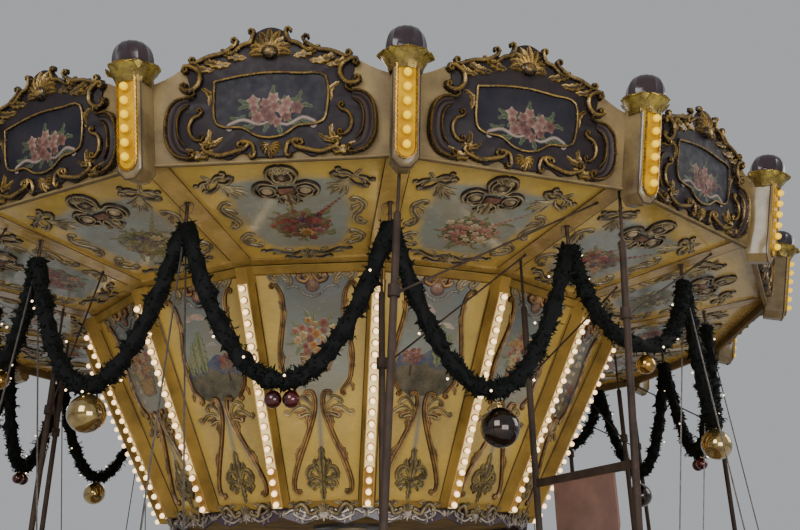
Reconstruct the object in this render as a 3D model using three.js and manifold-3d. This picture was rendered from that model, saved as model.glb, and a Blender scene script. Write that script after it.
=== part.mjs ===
// Fairground carousel: a turning roof, crown, ceiling, inverted cone and hanging platform on a fixed mast.
// Units are millimetres, +Z is up, the origin is on the ground under the mast.
// Corner 0 of the sixteen lies on the -Y side, and the corners are numbered towards +X.
import * as THREE from 'three';
import { mergeVertices } from 'three/addons/utils/BufferGeometryUtils.js';
import Module from 'manifold-3d';

const wasm = await Module();
wasm.setup();

// Driving dimensions
const SIDES = 16;
const BAY = (2 * Math.PI) / SIDES;
const SEAT_GAP = 0.3;

const CROWN = {
  radius: 4750, foot: 4280, flare: 0.226, boardThickness: 30,
  boardHeight: 600, shoulderHeight: 735, shoulderInset: 330, shoulderSweep: 170,
  lampWidth: 190, lampDepth: 175, lampTop: 640, lampShoulder: -55, lampFoot: -118,
  lampChamfer: 28, lampSink: 29,
  cartoucheThickness: 55, cartoucheSink: 10,
};
const URN = {
  foot: -20, neck: 70, collar: 150, collarHeight: 70, ball: 128, ballHeight: 170, crown: 60, top: 265,
};
const CEILING = {
  innerRadius: 3035, innerZ: 4180, slope: 0.1173, ribWidth: 185, ribThickness: 18, panelThickness: 22,
  trimWidth: 92,
};
const CONE = {
  topRadius: 3035, topZ: 4176, footRadius: 1976, footZ: 2175, skin: 25, ringWidth: 95, ringHeight: 70,
  battenFront: 105, battenFoot: 150, battenDepth: 115, battenSink: 60, mouldingHeight: 60, mouldingDepth: 40,
  topMargin: 22, valanceDrop: 170, valanceThickness: 20, floorThickness: 25,
};
const ROD = {
  outerRadius: 4620, innerRadius: 3350, thinRadius: 12, tubeRadius: 27, collarRadius: 44, collarHeight: 90,
  thinLength: 460, taper: 25, outerCollarZ: 3343, innerCollarZ: 3166, stayRadius: 8,
  footRadius: 70, footHeight: 16,
};
// The foot of an outer rod lies nearer the mast than its head, and behind it as the carousel turns
const OUTER_LEAN = { inward: 120, back: 190 };
const UPRIGHT = { inward: 0, back: 0 };
// The eyes that carry only the garland lie nearer the mast than those that carry the tie wires too
const TIE = {
  rodRibEye: 3990, wireRibEye: 4100, eyeDrop: 180, eyeThickness: 14, outerFoot: 4440, innerFoot: 3530,
  wireRadius: 7, endGap: 1.1, spread: 2,
};
// Every group of four ribs has rods on its first two and tie wires on its last two
const RIB_GROUP = 4;
const ROD_RIBS = 2;
const PLATFORM = {
  innerRadius: 3200, outerRadius: 4720, deckTop: 400, deckThickness: 40, joistWidth: 90, joistHeight: 120,
  ringBeamWidth: 80, rimThickness: 40, rimFoot: 200,
};
const GARLAND = { drop: 172, tube: 96, steps: 8, sides: 6 };
const MAST = {
  radius: 180, foot: 270, top: 5500, flangeRadius: 330, flangeHeight: 40, seatHeight: 60, seatInset: 10,
};
const HUB = {
  inner: 186, outer: 240, top: 5600, lowerFlange: 420, upperFlange: 395, flangeHeight: 35, upperFlangeZ: 5400,
};
const RAFTER = {
  innerRadius: 350, outerRadius: 4690, innerZ: 5510, outerZ: 4562, width: 70, height: 120, postWidth: 50,
  ringTop: 5540,
};
const EAVES = { foot: 4432, inset: 120, clearance: 0.3 };
const TILT = { innerRadius: 465, outerInset: 10, gap: 2.2, cloth: 14 };
const CAP = [
  [0, 0], [500, 0], [520, 35], [300, 110], [110, 230], [60, 380],
  [60, 430], [120, 490], [120, 570], [70, 640], [0, 740],
];
const FRAME = {
  arms: 8, armLength: 2450, armWidth: 160, armHeight: 180, footHeight: 90, footSize: 300, footRadius: 2300,
  bossRadius: 420,
};
const STRUT = {
  footRadius: 2100, footLength: 260, footWidth: 150, footThickness: 30, collarZ: 1650, collarHeight: 160,
  collarRadius: 245, collarSink: 30, size: 80,
};
const SIGN = {
  rib: 1, barZ: 2260, barWidth: 30, barHeight: 60, innerEdge: 250, outerEdge: 980, height: 400, thickness: 20,
  corner: 50,
};

// Colours read from the photograph
const CREAM = 0xe3cf94;
const GILT = 0x6b5524;
const DARK_STEEL = 0x3b3633;
const CREAM_STEEL = 0xb9a98a;

function material(color, roughness, metalness) {
  return new THREE.MeshStandardMaterial({ color, roughness, metalness, flatShading: true });
}

const PAINTED_WOOD = material(CREAM, 0.4, 0);
const GILDED = material(GILT, 0.35, 0.6);
const STEEL = material(DARK_STEEL, 0.45, 0.7);
const PAINTED_STEEL = material(CREAM_STEEL, 0.4, 0.4);
const CLOTH = material(0x7d2a26, 0.9, 0);
const FIR = material(0x12301f, 0.95, 0);
const BARE_BOARD = material(0x8a6a58, 0.7, 0);

// Closed solids from three.js geometry
function bareGeometry(geometry) {
  const plain = geometry.clone();
  plain.deleteAttribute('normal');
  plain.deleteAttribute('uv');
  return mergeVertices(plain, 1e-3);
}

function signedVolume(position, index) {
  const [a, b, c] = [new THREE.Vector3(), new THREE.Vector3(), new THREE.Vector3()];
  let volume = 0;
  for (let i = 0; i < index.length; i += 3) {
    a.fromBufferAttribute(position, index[i]);
    b.fromBufferAttribute(position, index[i + 1]);
    c.fromBufferAttribute(position, index[i + 2]);
    volume += a.dot(b.cross(c)) / 6;
  }
  return volume;
}

function toSolid(geometry) {
  const merged = bareGeometry(geometry);
  const index = merged.index.array.slice();
  if (signedVolume(merged.attributes.position, index) < 0) index.reverse();
  return new wasm.Manifold(new wasm.Mesh({
    numProp: 3,
    vertProperties: new Float32Array(merged.attributes.position.array),
    triVerts: new Uint32Array(index),
  }));
}

function join(solids) {
  let level = solids;
  while (level.length > 1) {
    const next = [];
    for (let i = 0; i < level.length; i += 2) {
      next.push(i + 1 < level.length ? level[i].add(level[i + 1]) : level[i]);
    }
    level = next;
  }
  return level[0];
}

function toGeometry(solid) {
  const mesh = solid.getMesh();
  const geometry = new THREE.BufferGeometry();
  geometry.setAttribute('position', new THREE.BufferAttribute(mesh.vertProperties, 3));
  geometry.setIndex(new THREE.BufferAttribute(mesh.triVerts, 1));
  return geometry;
}

const carousel = new THREE.Group();
carousel.name = 'fairground_carousel';
const fixedGroup = new THREE.Group();
const turningGroup = new THREE.Group();
carousel.add(fixedGroup, turningGroup);

function place(group, name, solid, look) {
  const mesh = new THREE.Mesh(toGeometry(solid), look);
  mesh.name = name;
  group.add(mesh);
}

// Shapes about the mast: x runs along the tangent, -y along the radius and z up, at corner 0
function turned(geometry, corner) {
  return geometry.clone().rotateZ(corner * BAY);
}

function ringOf(profile, sides = SIDES) {
  const points = profile.map(([r, z]) => new THREE.Vector2(r, z));
  return new THREE.LatheGeometry(points, sides).rotateX(Math.PI / 2);
}

function closed(profile) {
  return [...profile, profile[0]];
}

function block(sizeX, sizeY, sizeZ, x, y, z) {
  return new THREE.BoxGeometry(sizeX, sizeY, sizeZ).translate(x, y, z);
}

// A bar from one point to another: its section lies across the line, its height towards +Z
function bar(from, to, width, height) {
  const axis = new THREE.Vector3().subVectors(to, from);
  const length = axis.length();
  const forward = axis.normalize();
  const side = new THREE.Vector3(0, 0, 1).cross(forward).normalize();
  const up = new THREE.Vector3().crossVectors(forward, side);
  const frame = new THREE.Matrix4().makeBasis(forward, side, up);
  frame.setPosition(new THREE.Vector3().addVectors(from, to).multiplyScalar(0.5));
  return new THREE.BoxGeometry(length, width, height).applyMatrix4(frame);
}

function rod(from, to, radius, sides = 6) {
  const axis = new THREE.Vector3().subVectors(to, from);
  const turn = new THREE.Quaternion()
    .setFromUnitVectors(new THREE.Vector3(0, 1, 0), axis.clone().normalize());
  const middle = new THREE.Vector3().addVectors(from, to).multiplyScalar(0.5);
  return new THREE.CylinderGeometry(radius, radius, axis.length(), sides).applyQuaternion(turn)
    .translate(middle.x, middle.y, middle.z);
}

function extruded(outline, depth, bevel = 0) {
  return new THREE.ExtrudeGeometry(outline, {
    depth, steps: 1, curveSegments: 2, bevelEnabled: bevel > 0, bevelThickness: bevel, bevelSize: bevel,
    bevelOffset: -bevel, bevelSegments: 1,
  });
}

function polar(radius, corner, z) {
  const angle = corner * BAY;
  return new THREE.Vector3(radius * Math.sin(angle), -radius * Math.cos(angle), z);
}

// Polygon rings have their corners on the full radius and their flats nearer the mast
const FLAT = Math.cos(BAY / 2);

function ceilingZ(radius) {
  return CEILING.innerZ + (radius - CEILING.innerRadius) * CEILING.slope;
}

// Inner face of the crown boards at a height
function boardInner(z) {
  const depth = (CROWN.boardThickness * Math.hypot(1, CROWN.flare)) / FLAT;
  return CROWN.radius - depth + (z - CROWN.foot) * CROWN.flare;
}

// Where a surface that lies a little above the ceiling's underside meets the crown boards
function ceilingEdge(lift) {
  const underside = CEILING.innerZ - CEILING.innerRadius * CEILING.slope + lift;
  const radius = (boardInner(underside) - SEAT_GAP) / (1 - CEILING.slope * CROWN.flare);
  return [radius, ceilingZ(radius) + lift];
}

function coneRadius(z) {
  const slope = (CONE.topRadius - CONE.footRadius) / (CONE.topZ - CONE.footZ);
  return CONE.footRadius + (z - CONE.footZ) * slope;
}

// Fixed ground frame with eight arms on levelling feet
function groundFrame() {
  const parts = [toSolid(ringOf([
    [0, FRAME.footHeight], [FRAME.bossRadius, FRAME.footHeight],
    [FRAME.bossRadius, MAST.foot], [0, MAST.foot],
  ], FRAME.arms))];
  parts.push(toSolid(block(FRAME.footSize, FRAME.footSize, FRAME.footHeight, 0, 0, FRAME.footHeight / 2)));
  for (let i = 0; i < FRAME.arms; i += 1) {
    const corner = i * (SIDES / FRAME.arms);
    const arm = block(FRAME.armWidth, FRAME.armLength, FRAME.armHeight, 0, -FRAME.armLength / 2,
      FRAME.footHeight + FRAME.armHeight / 2);
    const size = FRAME.footSize;
    const foot = block(size, size, FRAME.footHeight, 0, -FRAME.footRadius, FRAME.footHeight / 2);
    parts.push(toSolid(turned(arm, corner)), toSolid(turned(foot, corner)));
  }
  return join(parts);
}

function mast() {
  return toSolid(ringOf([
    [0, MAST.foot + SEAT_GAP], [MAST.flangeRadius, MAST.foot + SEAT_GAP],
    [MAST.flangeRadius, MAST.foot + MAST.flangeHeight], [MAST.radius, MAST.foot + MAST.flangeHeight],
    [MAST.radius, MAST.top], [0, MAST.top],
  ]));
}

function mastStruts() {
  const inner = MAST.radius + SEAT_GAP;
  const low = STRUT.collarZ - STRUT.collarHeight / 2;
  const high = STRUT.collarZ + STRUT.collarHeight / 2;
  const outer = STRUT.collarRadius;
  const parts = [toSolid(ringOf(closed([[inner, low], [outer, low], [outer, high], [inner, high]])))];
  const armTop = MAST.foot + SEAT_GAP;
  const thickness = STRUT.footThickness;
  for (let i = 0; i < FRAME.arms; i += 1) {
    const corner = i * (SIDES / FRAME.arms);
    const middle = armTop + thickness / 2;
    const foot = block(STRUT.footWidth, STRUT.footLength, thickness, 0, -STRUT.footRadius, middle);
    const strut = bar(new THREE.Vector3(0, -STRUT.footRadius, armTop + 50),
      new THREE.Vector3(0, STRUT.collarSink - STRUT.collarRadius, STRUT.collarZ), STRUT.size, STRUT.size);
    parts.push(toSolid(turned(foot, corner)), toSolid(turned(strut, corner)));
  }
  return join(parts);
}

function bearingSeat() {
  const radius = MAST.radius - MAST.seatInset;
  const low = MAST.top + SEAT_GAP;
  const high = MAST.top + MAST.seatHeight;
  return toSolid(ringOf([[0, low], [radius, low], [radius, high], [0, high]]));
}

// The turning hub: a sleeve over the mast, closed on top, where it rests on the bearing
function hub() {
  const ceiling = MAST.top + MAST.seatHeight + SEAT_GAP;
  const foot = CONE.footZ - CONE.floorThickness - HUB.flangeHeight - 2 * SEAT_GAP;
  return toSolid(ringOf([
    [0, ceiling], [HUB.inner, ceiling], [HUB.inner, foot], [HUB.lowerFlange, foot],
    [HUB.lowerFlange, foot + HUB.flangeHeight], [HUB.outer, foot + HUB.flangeHeight],
    [HUB.outer, HUB.upperFlangeZ], [HUB.upperFlange, HUB.upperFlangeZ],
    [HUB.upperFlange, HUB.upperFlangeZ + HUB.flangeHeight], [HUB.outer, HUB.upperFlangeZ + HUB.flangeHeight],
    [HUB.outer, HUB.top], [0, HUB.top],
  ]));
}

const rafterSlope = (RAFTER.innerZ - RAFTER.outerZ) / (RAFTER.outerRadius - RAFTER.innerRadius);
const rafterHalfRise = (RAFTER.height / 2) * Math.hypot(1, rafterSlope);
const rafterEndFoot = RAFTER.outerZ - (RAFTER.height / 2) / Math.hypot(1, rafterSlope);

function rafterTop(radius) {
  return RAFTER.innerZ - (radius - RAFTER.innerRadius) * rafterSlope + rafterHalfRise;
}

function rafters() {
  const low = HUB.upperFlangeZ + HUB.flangeHeight + SEAT_GAP;
  const inner = HUB.outer + SEAT_GAP;
  const high = RAFTER.ringTop;
  const outer = HUB.upperFlange;
  const parts = [toSolid(ringOf(closed([[inner, low], [outer, low], [outer, high], [inner, high]])))];
  const postRadius = CONE.topRadius - CONE.ringWidth + 10;
  for (let i = 0; i < SIDES; i += 1) {
    const beam = bar(new THREE.Vector3(0, -RAFTER.innerRadius, RAFTER.innerZ),
      new THREE.Vector3(0, -RAFTER.outerRadius, RAFTER.outerZ), RAFTER.width, RAFTER.height);
    const postFoot = CONE.topZ + SEAT_GAP;
    const postTop = rafterTop(postRadius) - RAFTER.height;
    const width = RAFTER.postWidth;
    const post = block(width, width, postTop - postFoot, 0, -postRadius, (postTop + postFoot) / 2);
    parts.push(toSolid(turned(beam, i)), toSolid(turned(post, i)));
  }
  return join(parts);
}

function eavesRing() {
  const low = EAVES.foot;
  const high = rafterEndFoot - SEAT_GAP;
  const inner = CROWN.radius - EAVES.inset;
  return toSolid(ringOf(closed([
    [inner, low], [boardInner(low) - EAVES.clearance, low],
    [boardInner(high) - EAVES.clearance, high], [inner, high],
  ])));
}

function roofTilt() {
  const inner = TILT.innerRadius;
  const outer = CROWN.radius - TILT.outerInset;
  return toSolid(ringOf(closed([
    [inner, rafterTop(inner) + TILT.gap], [outer, rafterTop(outer) + TILT.gap],
    [outer, rafterTop(outer) + TILT.cloth], [inner, rafterTop(inner) + TILT.cloth],
  ])));
}

function roofCap() {
  const low = HUB.top + SEAT_GAP;
  return toSolid(ringOf(CAP.map(([r, z]) => [r, z + low]), 12));
}

// Ceiling of sixteen panels, and the ribs below their joints with what hangs from the ribs
function ceilingPanels() {
  const inner = CEILING.innerRadius + 0.5;
  const low = CEILING.ribThickness + SEAT_GAP;
  const high = low + CEILING.panelThickness;
  return toSolid(ringOf(closed([
    [inner, ceilingZ(inner) + low], ceilingEdge(low), ceilingEdge(high), [inner, ceilingZ(inner) + high],
  ])));
}

function trimRings() {
  const t = CEILING.ribThickness;
  const w = CEILING.trimWidth;
  const inner = CEILING.innerRadius + 0.5;
  const outer = ceilingEdge(0)[0] - w;
  const atMast = ringOf(closed([
    [inner, ceilingZ(inner)], [inner + w, ceilingZ(inner + w)],
    [inner + w, ceilingZ(inner + w) + t], [inner, ceilingZ(inner) + t],
  ]));
  const atCrown = ringOf(closed([
    [outer, ceilingZ(outer)], ceilingEdge(0), ceilingEdge(t), [outer, ceilingZ(outer) + t],
  ]));
  return [toSolid(atMast), toSolid(atCrown)];
}

function hasRods(corner) {
  return corner % RIB_GROUP < ROD_RIBS;
}

function eyeRadius(corner) {
  return hasRods(corner) ? TIE.rodRibEye : TIE.wireRibEye;
}

// An eye's stem between two heights below the ceiling
function eyeStem(corner, low, high, thickness) {
  const r = eyeRadius(corner);
  const stem = rod(polar(r, 0, ceilingZ(r) - low), polar(r, 0, ceilingZ(r) - high), thickness);
  return toSolid(turned(stem, corner));
}

function ceilingRibs() {
  const inner = CEILING.innerRadius + 20;
  const outer = ceilingEdge(0)[0] - 25;
  const parts = trimRings();
  const middle = CEILING.ribThickness / 2;
  for (let i = 0; i < SIDES; i += 1) {
    const rib = bar(new THREE.Vector3(0, -inner, ceilingZ(inner) + middle),
      new THREE.Vector3(0, -outer, ceilingZ(outer) + middle), CEILING.ribWidth, CEILING.ribThickness);
    parts.push(toSolid(turned(rib, i)), eyeStem(i, TIE.eyeDrop, -4, TIE.eyeThickness));
  }
  return join(parts);
}

// Two taut wires that part from a rib's eye and end on the deck, or the clearance that they need
function tieWires(corner, radius, eyeGap, deckGap) {
  const eye = eyeRadius(corner);
  const wires = [TIE.outerFoot, TIE.innerFoot].map((foot) => {
    const side = Math.sign(foot - eye) * TIE.spread;
    const start = polar(eye + side, corner, ceilingZ(eye) - TIE.eyeDrop - eyeGap);
    return toSolid(rod(start, polar(foot, corner, PLATFORM.deckTop + deckGap), radius, 4));
  });
  return join(wires);
}

// Inverted cone below the middle of the ceiling
function conePanels() {
  const s = CONE.skin;
  const low = CONE.topZ - CONE.ringHeight;
  const ringInner = CONE.topRadius - CONE.ringWidth;
  return toSolid(ringOf(closed([
    [CONE.footRadius, CONE.footZ], [CONE.topRadius, CONE.topZ], [ringInner, CONE.topZ], [ringInner, low],
    [coneRadius(low) - s, low], [CONE.footRadius - s, CONE.footZ],
  ])));
}

function coneMoulding(low, high, depth) {
  const off = 0.5;
  return ringOf(closed([
    [coneRadius(low) + off, low], [coneRadius(low) + depth, low],
    [coneRadius(high) + depth, high], [coneRadius(high) + off, high],
  ]));
}

// A batten has a narrow front for its bulbs and a wide foot, sunk below the cone's skin and cut off there
function batten(low, high) {
  const outline = new THREE.Shape();
  outline.moveTo(-CONE.battenFoot / 2, -CONE.battenSink);
  outline.lineTo(CONE.battenFoot / 2, -CONE.battenSink);
  outline.lineTo(CONE.battenFoot / 2, 0);
  outline.lineTo(CONE.battenFront / 2, CONE.battenDepth);
  outline.lineTo(-CONE.battenFront / 2, CONE.battenDepth);
  outline.lineTo(-CONE.battenFoot / 2, 0);
  const along = new THREE.Vector3(0, coneRadius(low) - coneRadius(high), high - low);
  const length = along.length();
  const up = along.normalize();
  const side = new THREE.Vector3(-1, 0, 0);
  const frame = new THREE.Matrix4().makeBasis(side, new THREE.Vector3().crossVectors(up, side), up);
  frame.setPosition(0, -coneRadius(low), low);
  return extruded(outline, length).applyMatrix4(frame);
}

function coneBattens() {
  const h = CONE.mouldingHeight;
  const top = CONE.topZ - CONE.topMargin;
  const d = CONE.mouldingDepth;
  const mouldings = [coneMoulding(CONE.footZ + 2, CONE.footZ + h, d), coneMoulding(top - h, top, d)];
  const parts = mouldings.map(toSolid);
  for (let i = 0; i < SIDES; i += 1) parts.push(toSolid(turned(batten(CONE.footZ - 60, CONE.topZ), i)));
  const reach = 2 * CROWN.radius;
  const under = CONE.footZ - 100;
  const over = CONE.topZ + 100;
  const clearance = ringOf([
    [0, under], [coneRadius(under) + 0.5, under], [coneRadius(over) + 0.5, over], [0, over],
  ]);
  const ground = block(reach, reach, 200, 0, 0, CONE.footZ - 98);
  const sky = block(reach, reach, 200, 0, 0, CONE.topZ + 90);
  return join(parts).subtract(toSolid(clearance)).subtract(toSolid(ground)).subtract(toSolid(sky));
}

function coneValance() {
  const t = CONE.valanceThickness;
  const radius = CONE.footRadius - 3.5 + t / FLAT;
  const half = radius * Math.sin(BAY / 2) + 3;
  const shoulder = -CONE.valanceDrop * 0.45;
  const outline = new THREE.Shape();
  outline.moveTo(-half, 0);
  outline.lineTo(-half, shoulder);
  outline.quadraticCurveTo(-half / 2, -CONE.valanceDrop * 1.2, 0, shoulder);
  outline.quadraticCurveTo(half / 2, -CONE.valanceDrop * 1.2, half, shoulder);
  outline.lineTo(half, 0);
  const panel = extruded(outline, t).rotateX(Math.PI / 2)
    .translate(0, t - radius * FLAT, CONE.footZ - SEAT_GAP);
  const parts = [];
  for (let i = 0; i < SIDES; i += 1) parts.push(toSolid(turned(panel, i + 0.5)));
  return join(parts);
}

function coneFloor() {
  const high = CONE.footZ - SEAT_GAP;
  const low = high - CONE.floorThickness;
  const inner = HUB.outer + 5;
  const outer = CONE.footRadius - 4;
  return toSolid(ringOf(closed([[inner, low], [outer, low], [outer, high], [inner, high]])));
}

// Crown of flared boards with carved cartouches, and a lamp box with its urn at each corner
const tiltAngle = Math.atan(CROWN.flare);

function onBoard(geometry, corner) {
  const stood = geometry.rotateX(Math.PI / 2).rotateX(tiltAngle)
    .translate(0, -CROWN.radius * FLAT, CROWN.foot);
  return turned(stood, corner + 0.5);
}

function boardOutline() {
  const foot = CROWN.radius * Math.sin(BAY / 2);
  const top = foot + CROWN.boardHeight * CROWN.flare * Math.sin(BAY / 2);
  const outline = new THREE.Shape();
  outline.moveTo(-foot, 0);
  outline.lineTo(foot, 0);
  outline.lineTo(top, CROWN.boardHeight);
  const sweep = top - CROWN.shoulderSweep;
  outline.quadraticCurveTo(sweep, CROWN.boardHeight + 15, top - CROWN.shoulderInset, CROWN.shoulderHeight);
  outline.lineTo(CROWN.shoulderInset - top, CROWN.shoulderHeight);
  outline.quadraticCurveTo(-sweep, CROWN.boardHeight + 15, -top, CROWN.boardHeight);
  return outline;
}

// Right half of the cartouche: scallops below, a lobe at the side, volute at the shoulder, crest above
const CARTOUCHE = [
  [0, 22], [120, 30], [205, 62], [310, 18], [420, 72], [560, 20], [650, 60], [745, 210],
  [735, 350], [590, 500], [612, 700], [500, 765], [300, 850], [180, 885], [110, 965], [0, 1005],
];

function cartoucheOutline() {
  const left = CARTOUCHE.slice(1, -1).reverse().map(([x, y]) => [-x, y]);
  return new THREE.Shape([...CARTOUCHE, ...left].map(([x, y]) => new THREE.Vector2(x, y)));
}

function lampOutline() {
  const h = CROWN.lampWidth / 2;
  const points = [
    [-h, CROWN.lampTop], [-h, CROWN.lampShoulder], [-h * 0.4, CROWN.lampFoot], [h * 0.4, CROWN.lampFoot],
    [h, CROWN.lampShoulder], [h, CROWN.lampTop],
  ];
  return new THREE.Shape(points.map(([x, y]) => new THREE.Vector2(x, y)));
}

function lampBox() {
  return extruded(lampOutline(), CROWN.lampDepth + CROWN.lampSink - 2 * CROWN.lampChamfer, CROWN.lampChamfer)
    .translate(0, 0, CROWN.lampChamfer - CROWN.lampSink);
}

function urn() {
  const profile = [
    [0, URN.foot], [URN.neck, URN.foot], [URN.collar, URN.collarHeight], [URN.ball, URN.ballHeight],
    [URN.crown, URN.top - 10], [0, URN.top],
  ];
  return new THREE.LatheGeometry(profile.map(([r, z]) => new THREE.Vector2(r, CROWN.lampTop + z)), 7)
    .translate(0, 0, CROWN.lampDepth / 2);
}

function crown() {
  const board = extruded(boardOutline(), CROWN.boardThickness).translate(0, 0, -CROWN.boardThickness);
  const cartouche = extruded(cartoucheOutline(), CROWN.cartoucheThickness + CROWN.cartoucheSink)
    .translate(0, 0, -CROWN.cartoucheSink);
  const parts = [];
  for (let i = 0; i < SIDES; i += 1) {
    for (const piece of [board, cartouche]) parts.push(toSolid(onBoard(piece.clone(), i)));
    for (const piece of [lampBox(), urn()]) {
      const stood = piece.rotateX(Math.PI / 2).rotateX(tiltAngle).translate(0, -CROWN.radius, CROWN.foot);
      parts.push(toSolid(turned(stood, i)));
    }
  }
  return join(parts);
}

// Platform that hangs on the rods
const rodFoot = PLATFORM.deckTop + SEAT_GAP;

// How far a rod's axis has moved at a height, towards the mast and back along the turn
function leanAt(lean, radius, z) {
  const high = ceilingZ(radius);
  const share = (high - z) / (high - rodFoot);
  return [lean.inward * share, lean.back * share];
}

function onRod(lean, radius, corner, z) {
  const [inward, back] = leanAt(lean, radius, z);
  const up = new THREE.Vector3(0, 0, 1);
  return new THREE.Vector3(-back, inward - radius, z).applyAxisAngle(up, corner * BAY);
}

function dropRod(radius, corner, collarZ, lean) {
  const high = ceilingZ(radius) - SEAT_GAP - 2;
  const c = ROD.collarHeight / 2;
  const geometry = ringOf([
    [0, rodFoot], [ROD.footRadius, rodFoot], [ROD.footRadius, rodFoot + ROD.footHeight],
    [ROD.tubeRadius, rodFoot + ROD.footHeight], [ROD.tubeRadius, collarZ - c],
    [ROD.collarRadius, collarZ - c], [ROD.collarRadius, collarZ + c],
    [ROD.tubeRadius, collarZ + c], [ROD.tubeRadius, high - ROD.thinLength],
    [ROD.thinRadius, high - ROD.thinLength + ROD.taper], [ROD.thinRadius, high], [0, high],
  ], 6);
  const position = geometry.attributes.position;
  for (let i = 0; i < position.count; i += 1) {
    const [inward, back] = leanAt(lean, radius, position.getZ(i));
    position.setX(i, position.getX(i) - back);
    position.setY(i, position.getY(i) + inward - radius);
  }
  const stayFoot = onRod(lean, radius, corner, collarZ);
  const stayEnd = radius - (lean === UPRIGHT ? -120 : 215);
  const stayTop = polar(stayEnd, corner + 1, ceilingZ(stayEnd) - ROD.stayRadius - 6);
  const away = stayTop.clone().sub(stayFoot).setZ(0).normalize();
  stayFoot.addScaledVector(away, ROD.tubeRadius);
  stayTop.addScaledVector(away, -30);
  return join([toSolid(turned(geometry, corner)), toSolid(rod(stayFoot, stayTop, ROD.stayRadius, 4))]);
}

// Sixteen joists under the deck, joined by a ring beam
function platformJoists() {
  const high = PLATFORM.deckTop - PLATFORM.deckThickness - SEAT_GAP;
  const low = high - PLATFORM.joistHeight;
  const fallAway = (PLATFORM.joistWidth / 2) * Math.tan(BAY / 2);
  const inner = PLATFORM.innerRadius + SEAT_GAP;
  const outer = PLATFORM.outerRadius - fallAway - SEAT_GAP;
  const beam = (PLATFORM.innerRadius + PLATFORM.outerRadius) / 2;
  const half = PLATFORM.ringBeamWidth / 2;
  const beamFoot = low + 20;
  const beamTop = high - 10;
  const parts = [toSolid(ringOf(closed([
    [beam - half, beamFoot], [beam + half, beamFoot], [beam + half, beamTop], [beam - half, beamTop],
  ])))];
  for (let i = 0; i < SIDES; i += 1) {
    const middle = -(outer + inner) / 2;
    const joist = block(PLATFORM.joistWidth, outer - inner, high - low, 0, middle, (high + low) / 2);
    parts.push(toSolid(turned(joist, i)));
  }
  return join(parts);
}

function platformDeck() {
  const low = PLATFORM.deckTop - PLATFORM.deckThickness;
  return toSolid(ringOf(closed([
    [PLATFORM.innerRadius, low], [PLATFORM.outerRadius, low], [PLATFORM.outerRadius, PLATFORM.deckTop],
    [PLATFORM.innerRadius, PLATFORM.deckTop],
  ])));
}

function platformRim(inner, outer) {
  return toSolid(ringOf(closed([
    [inner, PLATFORM.rimFoot], [outer, PLATFORM.rimFoot],
    [outer, PLATFORM.deckTop], [inner, PLATFORM.deckTop],
  ])));
}

// Notice board, left bare, under a crossbar between the two rods of one rib
const barInner = onRod(UPRIGHT, ROD.innerRadius, SIGN.rib, SIGN.barZ);
const barOuter = onRod(OUTER_LEAN, ROD.outerRadius, SIGN.rib, SIGN.barZ);
const barLine = barOuter.clone().sub(barInner).normalize();

function alongBar(distance, z) {
  return barInner.clone().addScaledVector(barLine, distance).setZ(z);
}

function signCrossbar() {
  const inner = ROD.tubeRadius + SEAT_GAP;
  const outer = barInner.distanceTo(barOuter) - ROD.tubeRadius - 1;
  return toSolid(bar(alongBar(inner, SIGN.barZ), alongBar(outer, SIGN.barZ), SIGN.barWidth, SIGN.barHeight));
}

function signBoard() {
  const top = SIGN.barZ - SIGN.barHeight / 2 - SEAT_GAP;
  const half = (SIGN.outerEdge - SIGN.innerEdge) / 2;
  const c = SIGN.corner;
  const outline = new THREE.Shape();
  outline.moveTo(-half, 0);
  outline.lineTo(-half, -SIGN.height + c);
  outline.quadraticCurveTo(-half, -SIGN.height, -half + c, -SIGN.height);
  outline.lineTo(half - c, -SIGN.height);
  outline.quadraticCurveTo(half, -SIGN.height, half, -SIGN.height + c);
  outline.lineTo(half, 0);
  const middle = alongBar((SIGN.outerEdge + SIGN.innerEdge) / 2, top);
  const board = extruded(outline, SIGN.thickness).translate(0, 0, -SIGN.thickness / 2).rotateX(Math.PI / 2)
    .rotateZ(Math.atan2(barLine.y, barLine.x)).translate(middle.x, middle.y, top);
  return toSolid(board);
}

// Fir garland from eye to eye, with its glass balls. The bays differ in a cycle of four: each has the depth
// of its swag, how round its foot is, and its balls with their offset along the swag, radius and drop.
const SWAGS = [
  { sag: 1270, bend: 0.8, balls: [[60, 148, 62]] },
  { sag: 740, bend: 3.2, balls: [[60, 82, 10]] },
  { sag: 1190, bend: 0.8, balls: [[0, 145, 0]] },
  { sag: 1250, bend: 0.8, balls: [[-55, 64, 0], [75, 64, 0]] },
];
const BALL_SEAT = { depth: 0.7, neck: 0.2, neckSides: 6 };

function swagEnd(corner) {
  const r = eyeRadius(corner);
  return polar(r, corner, ceilingZ(r) - GARLAND.drop);
}

class SwagCurve extends THREE.Curve {
  constructor(corner) {
    super();
    const { sag, bend } = SWAGS[corner % SWAGS.length];
    this.sag = sag;
    this.bend = bend;
    this.from = swagEnd(corner);
    this.to = swagEnd(corner + 1);
  }

  // A hanging line between its ends, as deep as the sag, whose foot is rounder where it bends more
  getPoint(t) {
    const x = Math.asinh((2 * t - 1) * Math.sinh(this.bend)) / this.bend;
    const rise = (Math.cosh(this.bend * x) - 1) / (Math.cosh(this.bend) - 1);
    const point = new THREE.Vector3().lerpVectors(this.from, this.to, (1 + x) / 2);
    point.z -= this.sag * (1 - rise);
    return point;
  }
}

function swag(line) {
  const section = new THREE.Shape();
  for (let i = 0; i < GARLAND.sides; i += 1) {
    const angle = (i * 2 * Math.PI) / GARLAND.sides;
    const x = GARLAND.tube * Math.cos(angle);
    const y = GARLAND.tube * Math.sin(angle);
    if (i === 0) section.moveTo(x, y);
    else section.lineTo(x, y);
  }
  section.closePath();
  return new THREE.ExtrudeGeometry(section, { steps: GARLAND.steps, extrudePath: line, curveSegments: 1 });
}

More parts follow.
